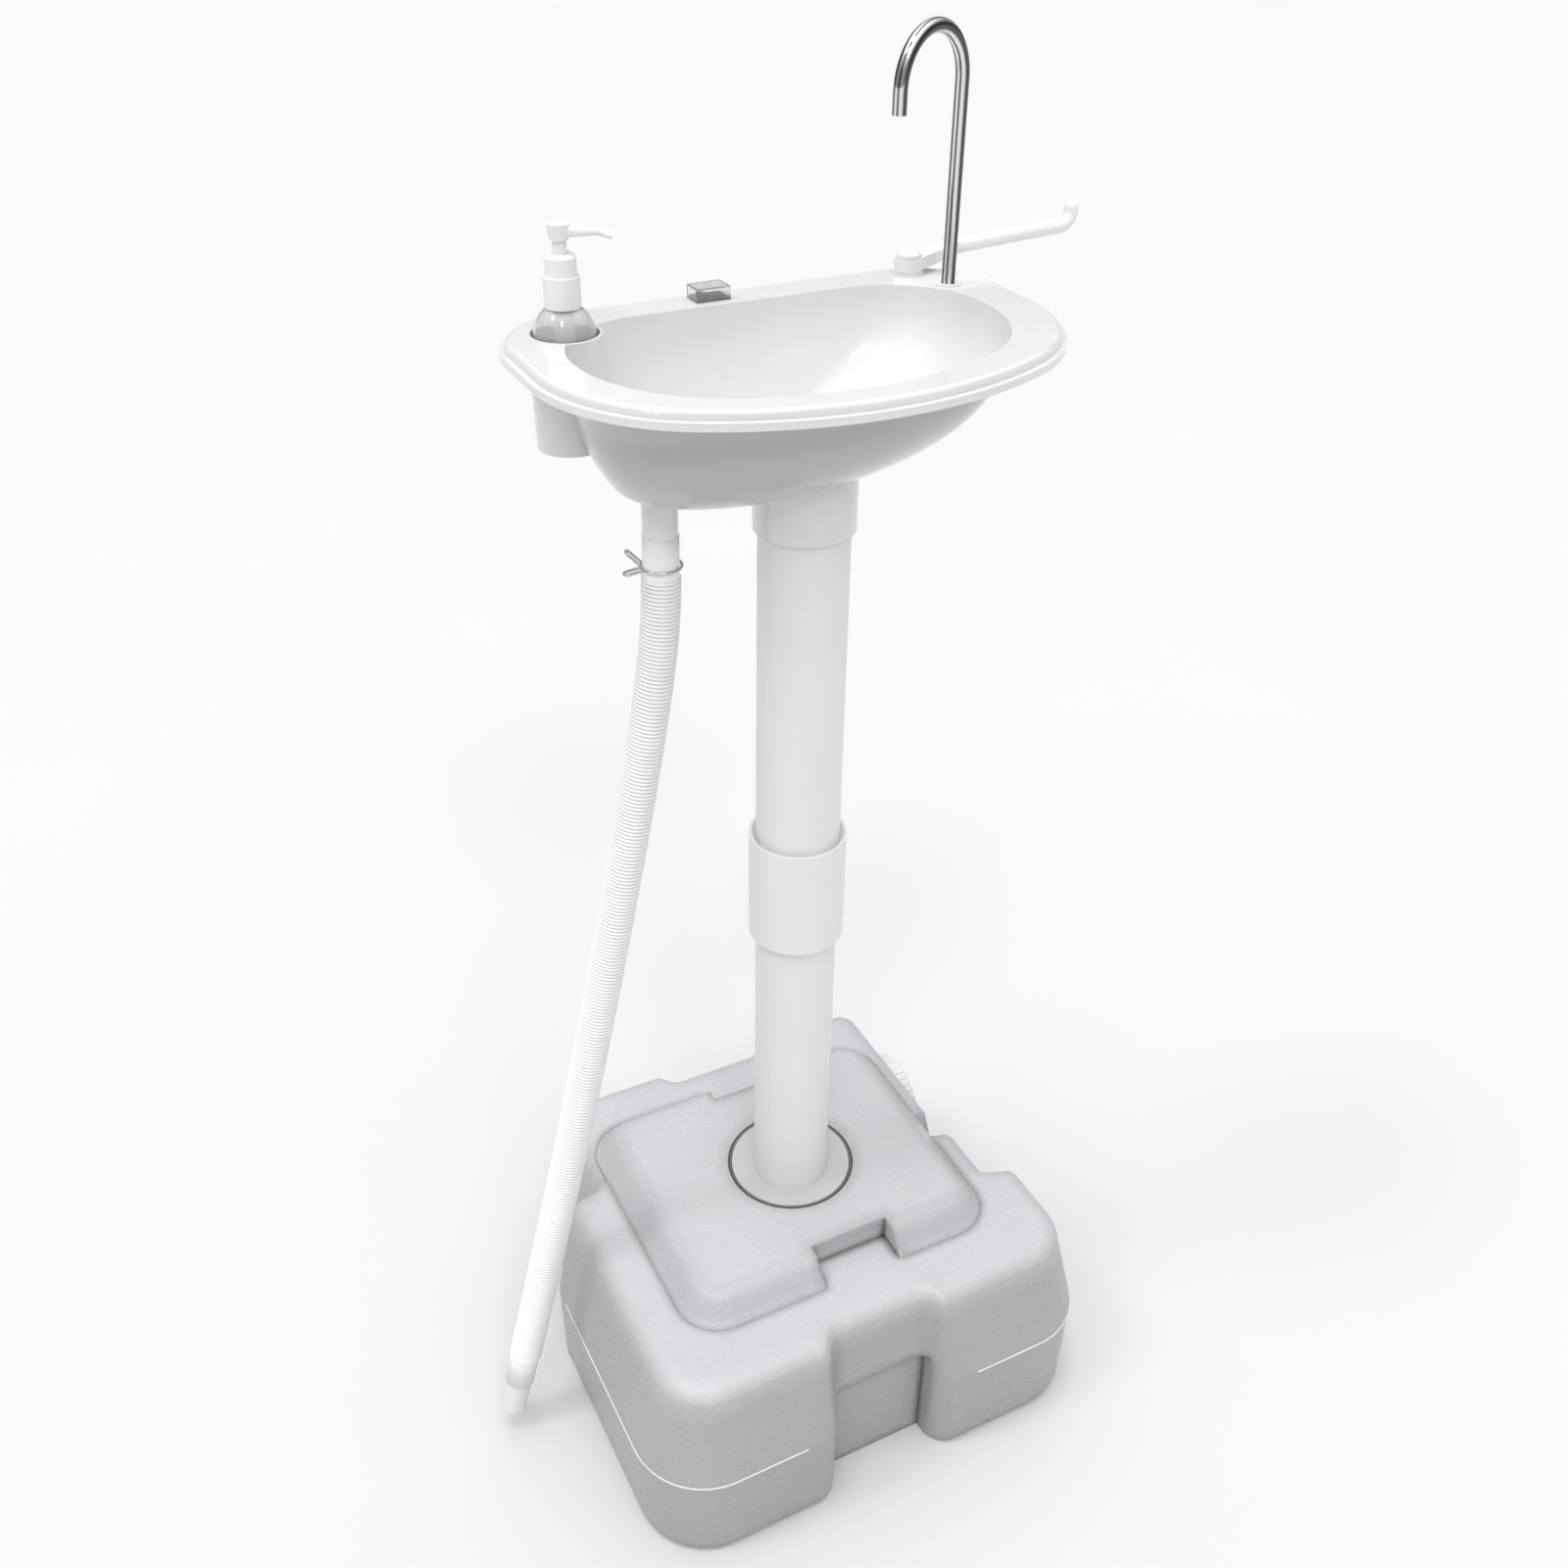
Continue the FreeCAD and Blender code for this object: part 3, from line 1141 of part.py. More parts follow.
def hose_clamp():
    """A sprung wire ring round the hose's cuff, with two finger loops to the left."""
    wire = S.clamp_wire.value / 2
    radius = S.hose_valley.value / 2 + S.push_fit.value + wire
    ring = Part.makeTorus(radius, wire)
    eye = S.clamp_eye.value
    loops = []
    for aim, tilt in CLAMP_LOOPS:
        out = azimuth(aim)
        start = out * radius
        way = out * math.cos(math.radians(tilt)) + Vector(0, 0, math.sin(math.radians(tilt)))
        beside = Vector(0, 0, 1).cross(out)
        far = start + way * (S.clamp_ear.value - eye)
        bent = Part.Wire([
            Part.LineSegment(start + beside * eye, far + beside * eye).toShape(),
            Part.Arc(far + beside * eye, far + way * eye, far - beside * eye).toShape(),
            Part.LineSegment(far - beside * eye, start - beside * eye).toShape(),
        ])
        tip = Part.Wire(Part.Circle(start + beside * eye, way, wire).toShape())
        loops.append(bent.makePipeShell([tip], True, False))
    spot = Vector(S.drain_x.value, S.drain_y.value, hose_route()[0][2] - S.clamp_drop.value)
    keep(solid("spring_clamp", ring.multiFuse(loops), spot), "hose_clamp")


def spout():
    """The chrome gooseneck, its bush, seal ring and nut."""
    aim = azimuth(S.spout_aim.value)
    foot = Vector(S.spout_x.value, S.spout_y.value, (S.rim_height - S.spout_seat).value)
    bend = S.spout_bend.value
    top = foot + Vector(0, 0, (S.spout_rise + S.spout_seat).value)
    crest = top + aim * bend + Vector(0, 0, bend)
    front = top + aim * (2 * bend)
    tip = front - Vector(0, 0, S.spout_drop.value)
    path = Part.Wire([
        Part.LineSegment(foot, top).toShape(),
        Part.Arc(top, crest, front).toShape(),
        Part.LineSegment(front, tip).toShape(),
    ])
    rings = [Part.Wire(Part.Circle(foot, Vector(0, 0, 1), radius).toShape())
             for radius in (S.spout_od.value / 2, S.spout_od.value / 2 - S.spout_wall.value)]
    pipe, way = (path.makePipeShell([ring], True, False) for ring in rings)
    keep(cut("gooseneck", solid("gooseneck_outside", pipe), solid("gooseneck_bore", way)), "faucet_spout")

    turn = S.spout_od / 2 + S.shaft_gap
    outer = S.bush_od / 2
    seat = -S.spout_seat - S.flat_gap
    tail = -S.bush_length
    groove = turn + S.oring_width
    ring_top = -S.oring_drop + S.oring_width / 2
    ring_low = -S.oring_drop - S.oring_width / 2
    keep(turned("bush", [
        (turn, S.flange_thick), (S.bush_flange / 2, S.flange_thick), (S.bush_flange / 2, 0), (outer, 0),
        (outer, tail), (S.nipple_od / 2, tail), (S.nipple_od / 2, tail - S.nipple_length),
        (S.nipple_bore / 2, tail - S.nipple_length), (S.nipple_bore / 2, seat),
        (turn, seat), (turn, ring_low),
        (groove, ring_low), (groove, ring_top), (turn, ring_top),
    ], S.spout_x, S.spout_y, S.rim_height), "faucet_bush")
    ring = tube("spout_ring", groove * 2, turn * 2, S.oring_width,
                S.spout_x, S.spout_y, S.rim_height + ring_low)
    keep(ring, "faucet_seal")
    keep(deck_nut("bush_nut", S.bush_nut_od, S.bush_od, S.spout_x, S.spout_y), "faucet_nut")


def deck_nut(name, across, thread, x, y):
    """A hexagon nut drawn up against the rim's underside."""
    nut = doc.addObject("Part::Prism", f"{name}_hexagon")
    nut.Polygon = 6
    bind(nut, "Circumradius", across / 2)
    bind(nut, "Height", S.nut_height)
    low = S.rim_height - S.basin_wall - S.nut_height
    place(nut, x, y, low)
    return cut(name, nut, cylinder(f"{name}_thread", thread + S.push_fit * 2, S.nut_height, x, y, low))


def towel_arm():
    """The swinging arm, its pivot, the disc it turns on and the pivot's nut."""
    deck = S.rim_height
    low = deck + S.washer_thick + S.flat_gap
    thick = S.arm_thick.value
    aim = azimuth(S.arm_aim.value)
    pivot = Vector(S.arm_x.value, S.arm_y.value, low.value)
    bar = S.arm_bar.value / 2
    hub = Part.makeCylinder(S.arm_hub.value / 2, thick, pivot)
    axis = pivot + Vector(0, 0, thick / 2 + S.arm_rise.value)
    start = axis + aim * S.arm_root.value
    end = axis + aim * S.arm_length.value
    across = Vector(0, 0, 1).cross(aim)
    wide = S.arm_root_width.value / 2
    root_corners = [(-wide, 0), (wide, 0), (wide, thick), (-wide, thick)]
    root_start = [pivot + across * side + Vector(0, 0, lift) for side, lift in root_corners]
    reach = bar * DIAGONAL
    root_end = [start + across * side * reach + Vector(0, 0, lift * reach)
                for side, lift in ((-1, -1), (1, -1), (1, 1), (-1, 1))]
    root = Part.makeLoft([Part.makePolygon(loop + loop[:1]) for loop in (root_start, root_end)], True, True)
    rise = Vector(0, 0, S.arm_tip.value)
    corner = aim * (bar * 2)
    knee = end - corner * (1 - DIAGONAL) + Vector(0, 0, bar * 2 * (1 - DIAGONAL))
    path = Part.Wire([
        Part.LineSegment(start, end - corner).toShape(),
        Part.Arc(end - corner, knee, end + Vector(0, 0, bar * 2)).toShape(),
        Part.LineSegment(end + Vector(0, 0, bar * 2), end + rise).toShape(),
    ])
    rod = path.makePipeShell([Part.Wire(Part.Circle(start, aim, bar).toShape())], True, False)
    ends = [Part.makeSphere(bar, start), Part.makeSphere(bar, end + rise)]
    arm = hub.multiFuse([root, rod] + ends)
    eye = Part.makeCylinder(S.pin_od.value / 2 + S.shaft_gap.value, thick * 4, pivot - Vector(0, 0, thick))
    room = S.pin_cap.value / 2 + S.pin_cap_room.value
    headroom = Part.makeCylinder(room, thick * 2, pivot + Vector(0, 0, thick))
    keep(solid("arm", arm.cut(eye).cut(headroom)), "towel_arm")

    cap_low = S.washer_thick + S.flat_gap * 2 + S.arm_thick
    cap_top = cap_low + S.pin_cap_height
    pin_foot = -S.basin_wall - S.nut_height - S.flat_gap
    keep(turned("pivot", [
        (0, pin_foot), (S.pin_od / 2, pin_foot), (S.pin_od / 2, cap_low), (S.pin_cap / 2, cap_low),
        (S.pin_cap / 2, cap_low + S.pin_cap_height / 2), (S.pin_cap_top / 2, cap_top), (0, cap_top),
    ], S.arm_x, S.arm_y, deck), "towel_pivot")
    disc = tube("disc", S.washer_od, S.pin_od + S.push_fit * 2, S.washer_thick, S.arm_x, S.arm_y, deck)
    keep(disc, "towel_washer")
    keep(deck_nut("pivot_nut", S.pin_nut_od, S.pin_od, S.arm_x, S.arm_y), "towel_nut")


def switch():
    """A rocker switch let into the rim's back, under a clear boot."""
    x, y, deck = S.switch_x, S.switch_y, S.rim_height
    bezel_length = S.boot_length - S.boot_wall * 2 - S.flat_gap * 2
    bezel_depth = S.boot_depth - S.boot_wall * 2 - S.flat_gap * 2
    bezel = box("bezel", bezel_length, bezel_depth, S.bezel_height, x, y, deck)
    body = box("switch_body", S.body_length, S.body_depth, S.body_drop, x, y, deck - S.body_drop)
    sweep = S.rocker_length / 2 + S.flat_gap
    well = box("rocker_well", sweep * 2, S.rocker_depth + S.flat_gap * 2, sweep + S.bezel_height,
               x, y, deck - sweep)
    endwise = Rotation(Vector(1, 0, 0), 90)
    pin_start = y + S.body_depth / 2
    pin = cylinder("rocker_pin", S.rocker_pin, S.body_depth, x, pin_start, deck, endwise)
    case = cut("switch_case", fuse("switch_solid", bezel, body), well)
    keep(fuse("pinned_case", case, pin), "switch_housing")

    half = S.rocker_length / 2
    ridge = S.bezel_height + S.rocker_ridge
    rocker = doc.addObject("PartDesign::Body", "rocker")
    sketch = profile_sketch(rocker, "rocker_profile", "XZ_Plane", [
        (-half * ROCKER_FOOT, -half * ROCKER_DEPTH), (half * ROCKER_FOOT, -half * ROCKER_DEPTH),
        (half * LOW_END, 0), (half * LOW_TOP, ridge), (0, ridge),
        (-half * HIGH_TOP, ridge + S.rocker_lift), (-half * HIGH_END, 0),
    ])
    pad = rocker.newObject("PartDesign::Pad", "rocker_pad")
    pad.Profile = (sketch, [""])
    pad.Midplane = True
    bind(pad, "Length", S.rocker_depth)
    place(rocker, x, y, deck)
    eye = cylinder("rocker_eye", S.rocker_pin + S.flat_gap * 2, S.body_depth, x, pin_start, deck, endwise)
    keep(cut("bored_rocker", rocker, eye), "switch_rocker")

    shell = box("boot_outside", S.boot_length, S.boot_depth, S.boot_height, x, y, deck)
    room = box("boot_inside", S.boot_length - S.boot_wall * 2, S.boot_depth - S.boot_wall * 2,
               S.boot_height - S.boot_wall, x, y, deck)
    doc.recompute()
    rounded = doc.addObject("Part::Fillet", "boot_rounded")
    rounded.Base = shell
    round_size = S.boot_round.value
    rounded.Edges = [(number + 1, round_size, round_size) for number, edge in enumerate(shell.Shape.Edges)
                     if edge.BoundBox.ZMax > deck.value + S.boot_height.value / 2]
    keep(cut("boot", rounded, room), "switch_boot")


def filler_cap():
    """The screw cap over the filler neck, with its flat seal; both turn about X."""
    face = S.shoulder_x
    neck = S.filler_od / 2 + S.thread_gap
    end = S.filler_reach + S.flat_gap + S.seal_thick
    crown = end + S.cap_wall
    outer = S.cap_od / 2
    cap = turned("cap", [
        (neck, S.cap_gap), (outer, S.cap_gap), (outer, crown - S.cap_chamfer), (outer - S.cap_chamfer, crown),
        (0, crown), (0, end), (neck, end),
    ], face, S.filler_y, S.filler_z, SIDEWAYS)
    through = crown * 4
    fluted = ring_of_holes(cap, "flute", S.cap_flute * 2, outer + S.flute_offset, through, S.cap_ribs)
    keep(fluted, "filler_cap")
    keep(tube("cap_ring", S.filler_od, S.filler_bore, S.seal_thick, face + S.filler_reach + S.flat_gap,
              S.filler_y, S.filler_z, SIDEWAYS), "filler_seal")


def soap_dispenser():
    """A pump bottle that stands loose in the rim's cup."""
    x, y = S.cup_x, S.cup_y
    base = S.rim_height - S.cup_depth + S.flat_gap
    radius = S.bottle_od / 2 - S.cup_draft / 2
    wall = S.bottle_wall
    shoulder = S.bottle_height - S.bottle_shoulder
    neck = S.bottle_neck / 2
    lip = S.bottle_height + S.neck_height
    rise = [(radius * wide, shoulder + S.bottle_shoulder * high, wall * sunk)
            for wide, high, sunk in BOTTLE_SHOULDER]
    keep(turned("bottle", [
        (0, 0), (radius, 0), (radius, shoulder), *[(out, up) for out, up, sunk in rise],
        (neck, S.bottle_height), (neck, lip), (neck - wall, lip),
        (neck - wall, S.bottle_height - wall * NECK_INSIDE),
        *[(out - wall, up - sunk) for out, up, sunk in reversed(rise)],
        (radius - wall, shoulder), (radius - wall, wall), (0, wall),
    ], x, y, base), "soap_bottle")

    cap_low = S.bottle_height + S.flat_gap
    cap_top = cap_low + S.soap_cap_height
    flange_low = lip
    barrel = S.barrel_od / 2
    bore = S.barrel_bore / 2
    thread = neck + S.thread_gap
    throat_hole = S.stem_od / 2 + S.shaft_gap
    throat_top = cap_top + S.throat_height
    cap_wall = S.soap_cap_wall
    keep(turned("soap_cap", [
        (thread, cap_low), (S.soap_cap_od / 2, cap_low), (S.soap_cap_od / 2, cap_top), (barrel, cap_top),
        (barrel, cap_top - cap_wall), (thread, cap_top - cap_wall),
    ], x, y, base), "soap_cap")
    keep(turned("throat", [
        (throat_hole, cap_top), (S.throat_od / 2, cap_top), (S.throat_od / 2, throat_top - cap_wall),
        (S.throat_od / 2 - cap_wall, throat_top), (throat_hole, throat_top),
    ], x, y, base), "pump_throat")
    barrel_low = lip - S.barrel_length
    dip_hole = S.dip_od / 2 + S.push_fit
    flange_top = flange_low + S.barrel_flange
    barrel_floor = barrel_low + S.barrel_flange
    socket_low = barrel_low - S.dip_socket
    keep(turned("barrel", [
        (bore, flange_top), (neck, flange_top), (neck, flange_low),
        (barrel, flange_low), (barrel, barrel_low),
        (dip_hole + wall, barrel_low), (dip_hole + wall, socket_low), (dip_hole, socket_low),
        (dip_hole, barrel_floor), (bore, barrel_floor),
    ], x, y, base), "pump_barrel")
    dip_low = wall + S.dip_clear
    dip_top = barrel_low + S.barrel_flange / 2
    keep(tube("dip", S.dip_od, S.dip_bore, dip_top - dip_low, x, y, base + dip_low), "dip_tube")

    head_low = throat_top + S.press_travel + S.flat_gap
    piston_low = flange_low - S.press_travel
    piston = bore - S.shaft_gap
    stem_top = head_low + S.stem_insert - S.flat_gap
    keep(turned("stem", [
        (S.stem_bore / 2, piston_low), (piston, piston_low), (piston, piston_low + S.piston_length),
        (S.stem_od / 2, piston_low + S.piston_length), (S.stem_od / 2, stem_top), (S.stem_bore / 2, stem_top),
    ], x, y, base), "pump_stem")

    aim = azimuth(S.nozzle_aim.value)
    level = (base + head_low).value
    centre = Vector(x.value, y.value, level)
    tall = S.head_height.value
    knob = Part.makeCone(S.head_foot.value / 2, S.head_od.value / 2, tall, centre)
    slim = S.nozzle_od.value / 2
    fat = S.nozzle_root.value / 2
    level_start = centre + Vector(0, 0, tall - fat)
    tip = level_start + aim * S.nozzle_reach.value - Vector(0, 0, S.nozzle_drop.value)
    rod = Part.makeCone(fat, slim, S.nozzle_straight.value, level_start, aim)
    reach = level_start + aim * S.nozzle_straight.value
    down = (tip - reach).normalize()
    beak = Part.makeCone(slim, S.nozzle_tip.value / 2, (tip - reach).Length, reach, down)
    socket = Part.makeCylinder(S.stem_od.value / 2 + S.shaft_gap.value, S.stem_insert.value, centre)
    keep(solid("head", knob.multiFuse([rod, beak, Part.makeSphere(slim, reach)]).cut(socket)), "pump_head")

    spring_low = barrel_floor
    wire = S.spring_wire.value / 2
    height = (piston_low - spring_low).value - wire * 2 - S.flat_gap.value
    coil = (S.spring_od.value / 2) - wire
    helix = Part.makeHelix(height / S.spring_turns.value, height, coil)
    ring = Part.Wire(Part.Circle(Vector(coil, 0, 0), Vector(0, 1, 0), wire).toShape())
    spring = Part.Wire(helix).makePipeShell([ring], True, True)
    foot = Vector(x.value, y.value, (base + spring_low).value + wire + S.flat_gap.value / 2)
    keep(solid("coil", spring, foot), "pump_spring")


def riser_clips():
    """A sprung wire clip on each end of the riser hose."""
    way = riser_way()
    wire = S.clip_wire / 2
    rings = []
    ends = (
        (S.riser_offset * way.x, S.riser_offset * way.y, pump_top() + S.nipple_length / 2),
        (S.spout_x, S.spout_y, S.rim_height - S.bush_length - S.nipple_length / 2),
    )
    for index, (x, y, z) in enumerate(ends):
        ring = doc.addObject("Part::Torus", f"riser_clip_{index}")
        bind(ring, "Radius1", S.riser_od / 2 + S.push_fit + wire)
        bind(ring, "Radius2", wire)
        place(ring, x, y, z)
        rings.append(ring)
    keep(fuse("riser_clip_pair", *rings), "riser_clips")


tank()
column()
pump()
riser_and_leads()
basin()
ribbed_hose()
hose_clamp()
spout()
towel_arm()
switch()
filler_cap()
soap_dispenser()
riser_clips()

doc.recompute()
faults = [thing.Name for thing in doc.Objects if "Invalid" in thing.State or "Error" in thing.State]
faults += [piece.Label for piece in pieces if piece.Shape.isNull() or not piece.Shape.isValid()]
if faults:
    raise SystemExit(f"not built: {faults}")

os.makedirs("parts", exist_ok=True)
for piece in pieces:
    piece.Shape.exportStep(f"parts/{piece.Label}.step")
    count = len(piece.Shape.Solids)
    print(f"{piece.Label}: {count} solid(s), {piece.Shape.Volume / 1000:.2f} cm3")
print(len(pieces), "nodes")
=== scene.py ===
"""Looks of the portable handwash station: finishes, soft moulded edges, the ribbed hose and the studio."""

import bmesh
import bpy
import json
import math
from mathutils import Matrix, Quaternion, Vector


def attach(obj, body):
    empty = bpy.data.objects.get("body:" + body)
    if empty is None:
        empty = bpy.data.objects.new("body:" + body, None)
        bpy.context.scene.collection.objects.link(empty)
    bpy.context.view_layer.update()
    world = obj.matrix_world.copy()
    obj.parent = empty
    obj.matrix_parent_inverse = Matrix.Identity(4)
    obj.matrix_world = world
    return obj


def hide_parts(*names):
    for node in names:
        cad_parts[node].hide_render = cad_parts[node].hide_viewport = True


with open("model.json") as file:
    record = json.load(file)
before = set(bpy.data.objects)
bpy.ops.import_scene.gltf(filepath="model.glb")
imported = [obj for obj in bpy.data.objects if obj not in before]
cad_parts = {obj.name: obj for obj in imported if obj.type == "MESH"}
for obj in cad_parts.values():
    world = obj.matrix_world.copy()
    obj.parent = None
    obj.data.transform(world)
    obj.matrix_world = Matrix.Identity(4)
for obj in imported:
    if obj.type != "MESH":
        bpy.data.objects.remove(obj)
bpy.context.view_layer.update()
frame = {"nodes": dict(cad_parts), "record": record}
nodes = frame["nodes"]

# Lengths are in metres and angles in degrees.

# Camera, fitted to the photograph's frame.
CAMERA_SPOT = Vector((-0.4527, -0.8443, 1.2302))
CAMERA_AIM = Vector((0.385, 0.7379, -0.5542))
CAMERA_ROLL = 0.93
LENS = 36
SENSOR = 36

# Drain hose: its route from the spigot down past the tank's left side, then its section.
HOSE_ROUTE = [
    (-0.094, 0.022, 0.801),
    (-0.094, 0.022, 0.752),
    (-0.103, 0.020, 0.690),
    (-0.1215, 0.017, 0.600),
    (-0.1485, 0.0135, 0.480),
    (-0.180, 0.0095, 0.350),
    (-0.2145, 0.006, 0.215),
    (-0.247, 0.0025, 0.095),
    (-0.259, 0.0012, 0.052),
]
ROUTE_ORDER = 3
ROUTE_STEPS = 24
HOSE_OD = 0.027
HOSE_VALLEY = 0.0246
HOSE_WALL = 0.0012
HOSE_SIDES = 40
# Its plain cuffs: their length, and the share of it that the lower one has after the last rib's foot.
HOSE_CUFF = 0.029
LOWER_CUFF = 0.98
# Its ribs: their number, and one rib as shares of its pitch and of its height.
HOSE_RIBS = 246
HOSE_RIB = [(0.1, 0), (0.26, 0.7), (0.42, 1), (0.62, 1), (0.78, 0.7), (0.94, 0)]

# Tank: the rounding of its edges, and the heights where its walls' painted shade fades into its deck's
# colour.
TANK_ROUND = 0.014
ROUND_SAMPLES = 6
PAINTED_WALL_SHADE_TOP = 0.150
PAINTED_SHADE_FADE_END = 0.176
# The shadow painted on the deck where it meets the lid: its radius, half its dark width and half its whole
# width.
LID_GAP = 0.0535
GAP_SHADOW_CORE = 0.0006
GAP_SHADOW_EDGE = 0.0013
# The parting line: its height, its bead's width and roundness, and the longest step between its points.
SEAM_HEIGHT = 0.09
SEAM_BEAD = 0.0017
BEAD_STEPS = 2
SEAM_STEP = 0.006
# Where it is left out, as spans of X and Y: the notches, the right side's step and groove, the filler and
# the left side's step.
SEAM_GAPS = [
    ((-0.08, 0.08), (-0.3, 0.3)),
    ((0.1, 0.3), (-0.095, 0.04)),
    ((0.1, 0.3), (0.085, 0.188)),
    ((-0.3, -0.1), (0.03, 0.095)),
]
# A stretch of the line has more points than this.
SHORT_RUN = 3

# How close two points are the same one, on a new mesh and on the tank's outline.
SAME_POINT = 1e-6
SAME_SEAM_POINT = 1e-5

# Basin: the heights where the painted shade in its bowl fades out, and how far a face has to look up to
# carry it.
BOWL_LOW = 0.845
BOWL_SHADE_TOP = 0.895
BOWL_SHADE_SLOPE = (0.3, 0.6)
# The noise's values between which its scuffs show.
SCUFFS = (0.45, 0.75)
# Painted shade greys its underside, going into white between these, from faces that look down to upright
# ones.
PAINTED_UNDERSIDE_SHADE = (-0.22, -0.02)

# Spout: its upright axis, the direction across its bend and its pipe's radius.
SPOUT_AXIS = (0.150, 0.078, 0)
SPOUT_ACROSS = (0.4067, -0.9135, 0)
SPOUT_RADIUS = 0.0047
# Painted dark reflections along it, in radii: place across the pipe, half their dark and half their whole
# width.
PAINTED_REFLECTIONS = [(0.98, 0.06, 0.2), (0.34, 0.05, 0.2), (-0.38, 0.1, 0.32), (-0.95, 0.05, 0.2)]

# Softened edges of solids: node, width, steps and the least angle.
SOFT_EDGES = [
    ("tank_shell", 0.006, 3, 24),
    ("basin", 0.0016, 3, 40),
    ("tank_lid", 0.0006, 2, 40),
    ("column_collar", 0.0008, 2, 40),
    ("filler_cap", 0.0005, 2, 50),
    ("towel_arm", 0.0008, 2, 50),
    ("switch_boot", 0.0004, 2, 50),
    ("soap_cap", 0.0006, 2, 40),
    ("pump_throat", 0.0006, 2, 40),
    ("pump_head", 0.0008, 3, 40),
]

# Most of a noise's values lie between these.
NOISE_LOW = 0.3
NOISE_HIGH = 0.7
# The Mix node's sockets for its share and its colours, which share their names with others.
MIX_SHARE = 0
MIX_FIRST = 6
MIX_SECOND = 7
MIX_RESULT = 2

# Sky: its strength and its least share, then the direction of the picture's sides, where it dims towards
# them and its share there.
SKY_LIGHT = 2.3
HORIZON = 0.13
PICTURE_SIDE = (0.881, -0.473, 0)
SIDE_START = 0.4
SIDE_END = 0.95
SKY_SIDE = 0.5
# Far lamps: name and direction, then the width, power and distance of each.
LAMPS = [
    ("left_lamp", (-0.546, 0.102, 0.831)),
    ("middle_lamp", (-0.30, -0.45, 0.84)),
    ("front_lamp", (-0.114, -0.70, 0.70)),
    ("top_lamp", (-0.17, 0.0, 0.985)),
]
LAMP_WIDTH = 12
LAMP_POWER = 0.38
LAMP_DISTANCE = 4
FLOOR_HALF = 40


class Socket:
    """A shader value that takes part in Python arithmetic."""

    def __init__(self, shading, link):
        self.shading = shading
        self.link = link

    def maths(self, operation, first, second):
        """A Math node on two values."""
        return self.shading.make("ShaderNodeMath", {"operation": operation}, {0: first, 1: second})

    def __sub__(self, other):
        return self.maths("SUBTRACT", self, other)

    def __rsub__(self, other):
        return self.maths("SUBTRACT", other, self)

    def __mul__(self, other):
        return self.maths("MULTIPLY", self, other)

    def __rmul__(self, other):
        return self.maths("MULTIPLY", other, self)

    def __abs__(self):
        return self.maths("ABSOLUTE", self, 0)


class Shading:
    """A node tree under construction: its shader and the coordinates that its patterns read."""

    def __init__(self, owner, shader, coordinates):
        owner.use_nodes = True
        self.tree = owner.node_tree
        self.shader = self.tree.nodes[shader]
        self.place = self.make("ShaderNodeTexCoord", output=coordinates)

    def make(self, kind, settings=None, inputs=None, output=0):
        """Any node: its settings first, then the values or links of its sockets."""
        node = self.tree.nodes.new(kind)
        for setting, value in (settings or {}).items():
            setattr(node, setting, value)
        for socket, value in (inputs or {}).items():
            self.join(node.inputs[socket], value)
        return Socket(self, node.outputs[output])

    def join(self, socket, value):
        """Links a value to a node's socket, or sets a plain one on it, a colour with its alpha."""
        if isinstance(value, Socket):
            self.tree.links.new(value.link, socket)
        elif socket.type == "RGBA":
            socket.default_value = (*value, 1)
        else:
            socket.default_value = value

    def feed(self, socket, value):
        """Gives the shader one of its values."""
        self.join(self.shader.inputs[socket], value)

    def noise(self, scale, detail=3, rough=0.5, vector=None):
        """A noise on the coordinates, or on others that are given."""
        return self.make(
            "ShaderNodeTexNoise", None,
            {"Vector": vector or self.place, "Scale": scale, "Detail": detail, "Roughness": rough},
        )

    def stretched(self, scale):
        """The coordinates scaled by axis, for streaks and grain."""
        return self.make("ShaderNodeMapping", None, {"Vector": self.place, "Scale": scale})

    def vectors(self, operation, first, second, output="Vector"):
        """A Vector Math node on two vectors."""
        return self.make("ShaderNodeVectorMath", {"operation": operation}, {0: first, 1: second}, output)

    def upright(self, vector):
        """A vector's share along Z."""
        return self.make("ShaderNodeSeparateXYZ", None, {0: vector}, "Z")

    def blend(self, share, first, second):
        """A mix of two colours."""
        inputs = {MIX_SHARE: share, MIX_FIRST: first, MIX_SECOND: second}
        return self.make("ShaderNodeMix", {"data_type": "RGBA"}, inputs, MIX_RESULT)

    def span(self, value, low, high, to_low, to_high):
        """Moves a value from one span to another, held at its ends."""
        return self.make(
            "ShaderNodeMapRange", {"clamp": True},
            {"Value": value, "From Min": low, "From Max": high, "To Min": to_low, "To Max": to_high},
        )

    def spread(self, noise, to_low=0, to_high=1):
        """Moves a noise's usual values to another span."""
        return self.span(noise, NOISE_LOW, NOISE_HIGH, to_low, to_high)

    def bump(self, height, strength, distance, under=None):
        """A normal with a relief, on top of another one where that is given."""
        inputs = {"Height": height, "Strength": strength, "Distance": distance}
        if under is not None:
            inputs["Normal"] = under
        return self.make("ShaderNodeBump", None, inputs)


class Finish(Shading):
    """A material, with the values that are the same all over it, named as the shader names them."""

    def __init__(self, name, **fixed):
        self.material = bpy.data.materials.new(name)
        super().__init__(self.material, "Principled BSDF", "Object")
        for socket, value in fixed.items():
            self.feed(socket.replace("_", " ").title().replace("Ior", "IOR"), value)


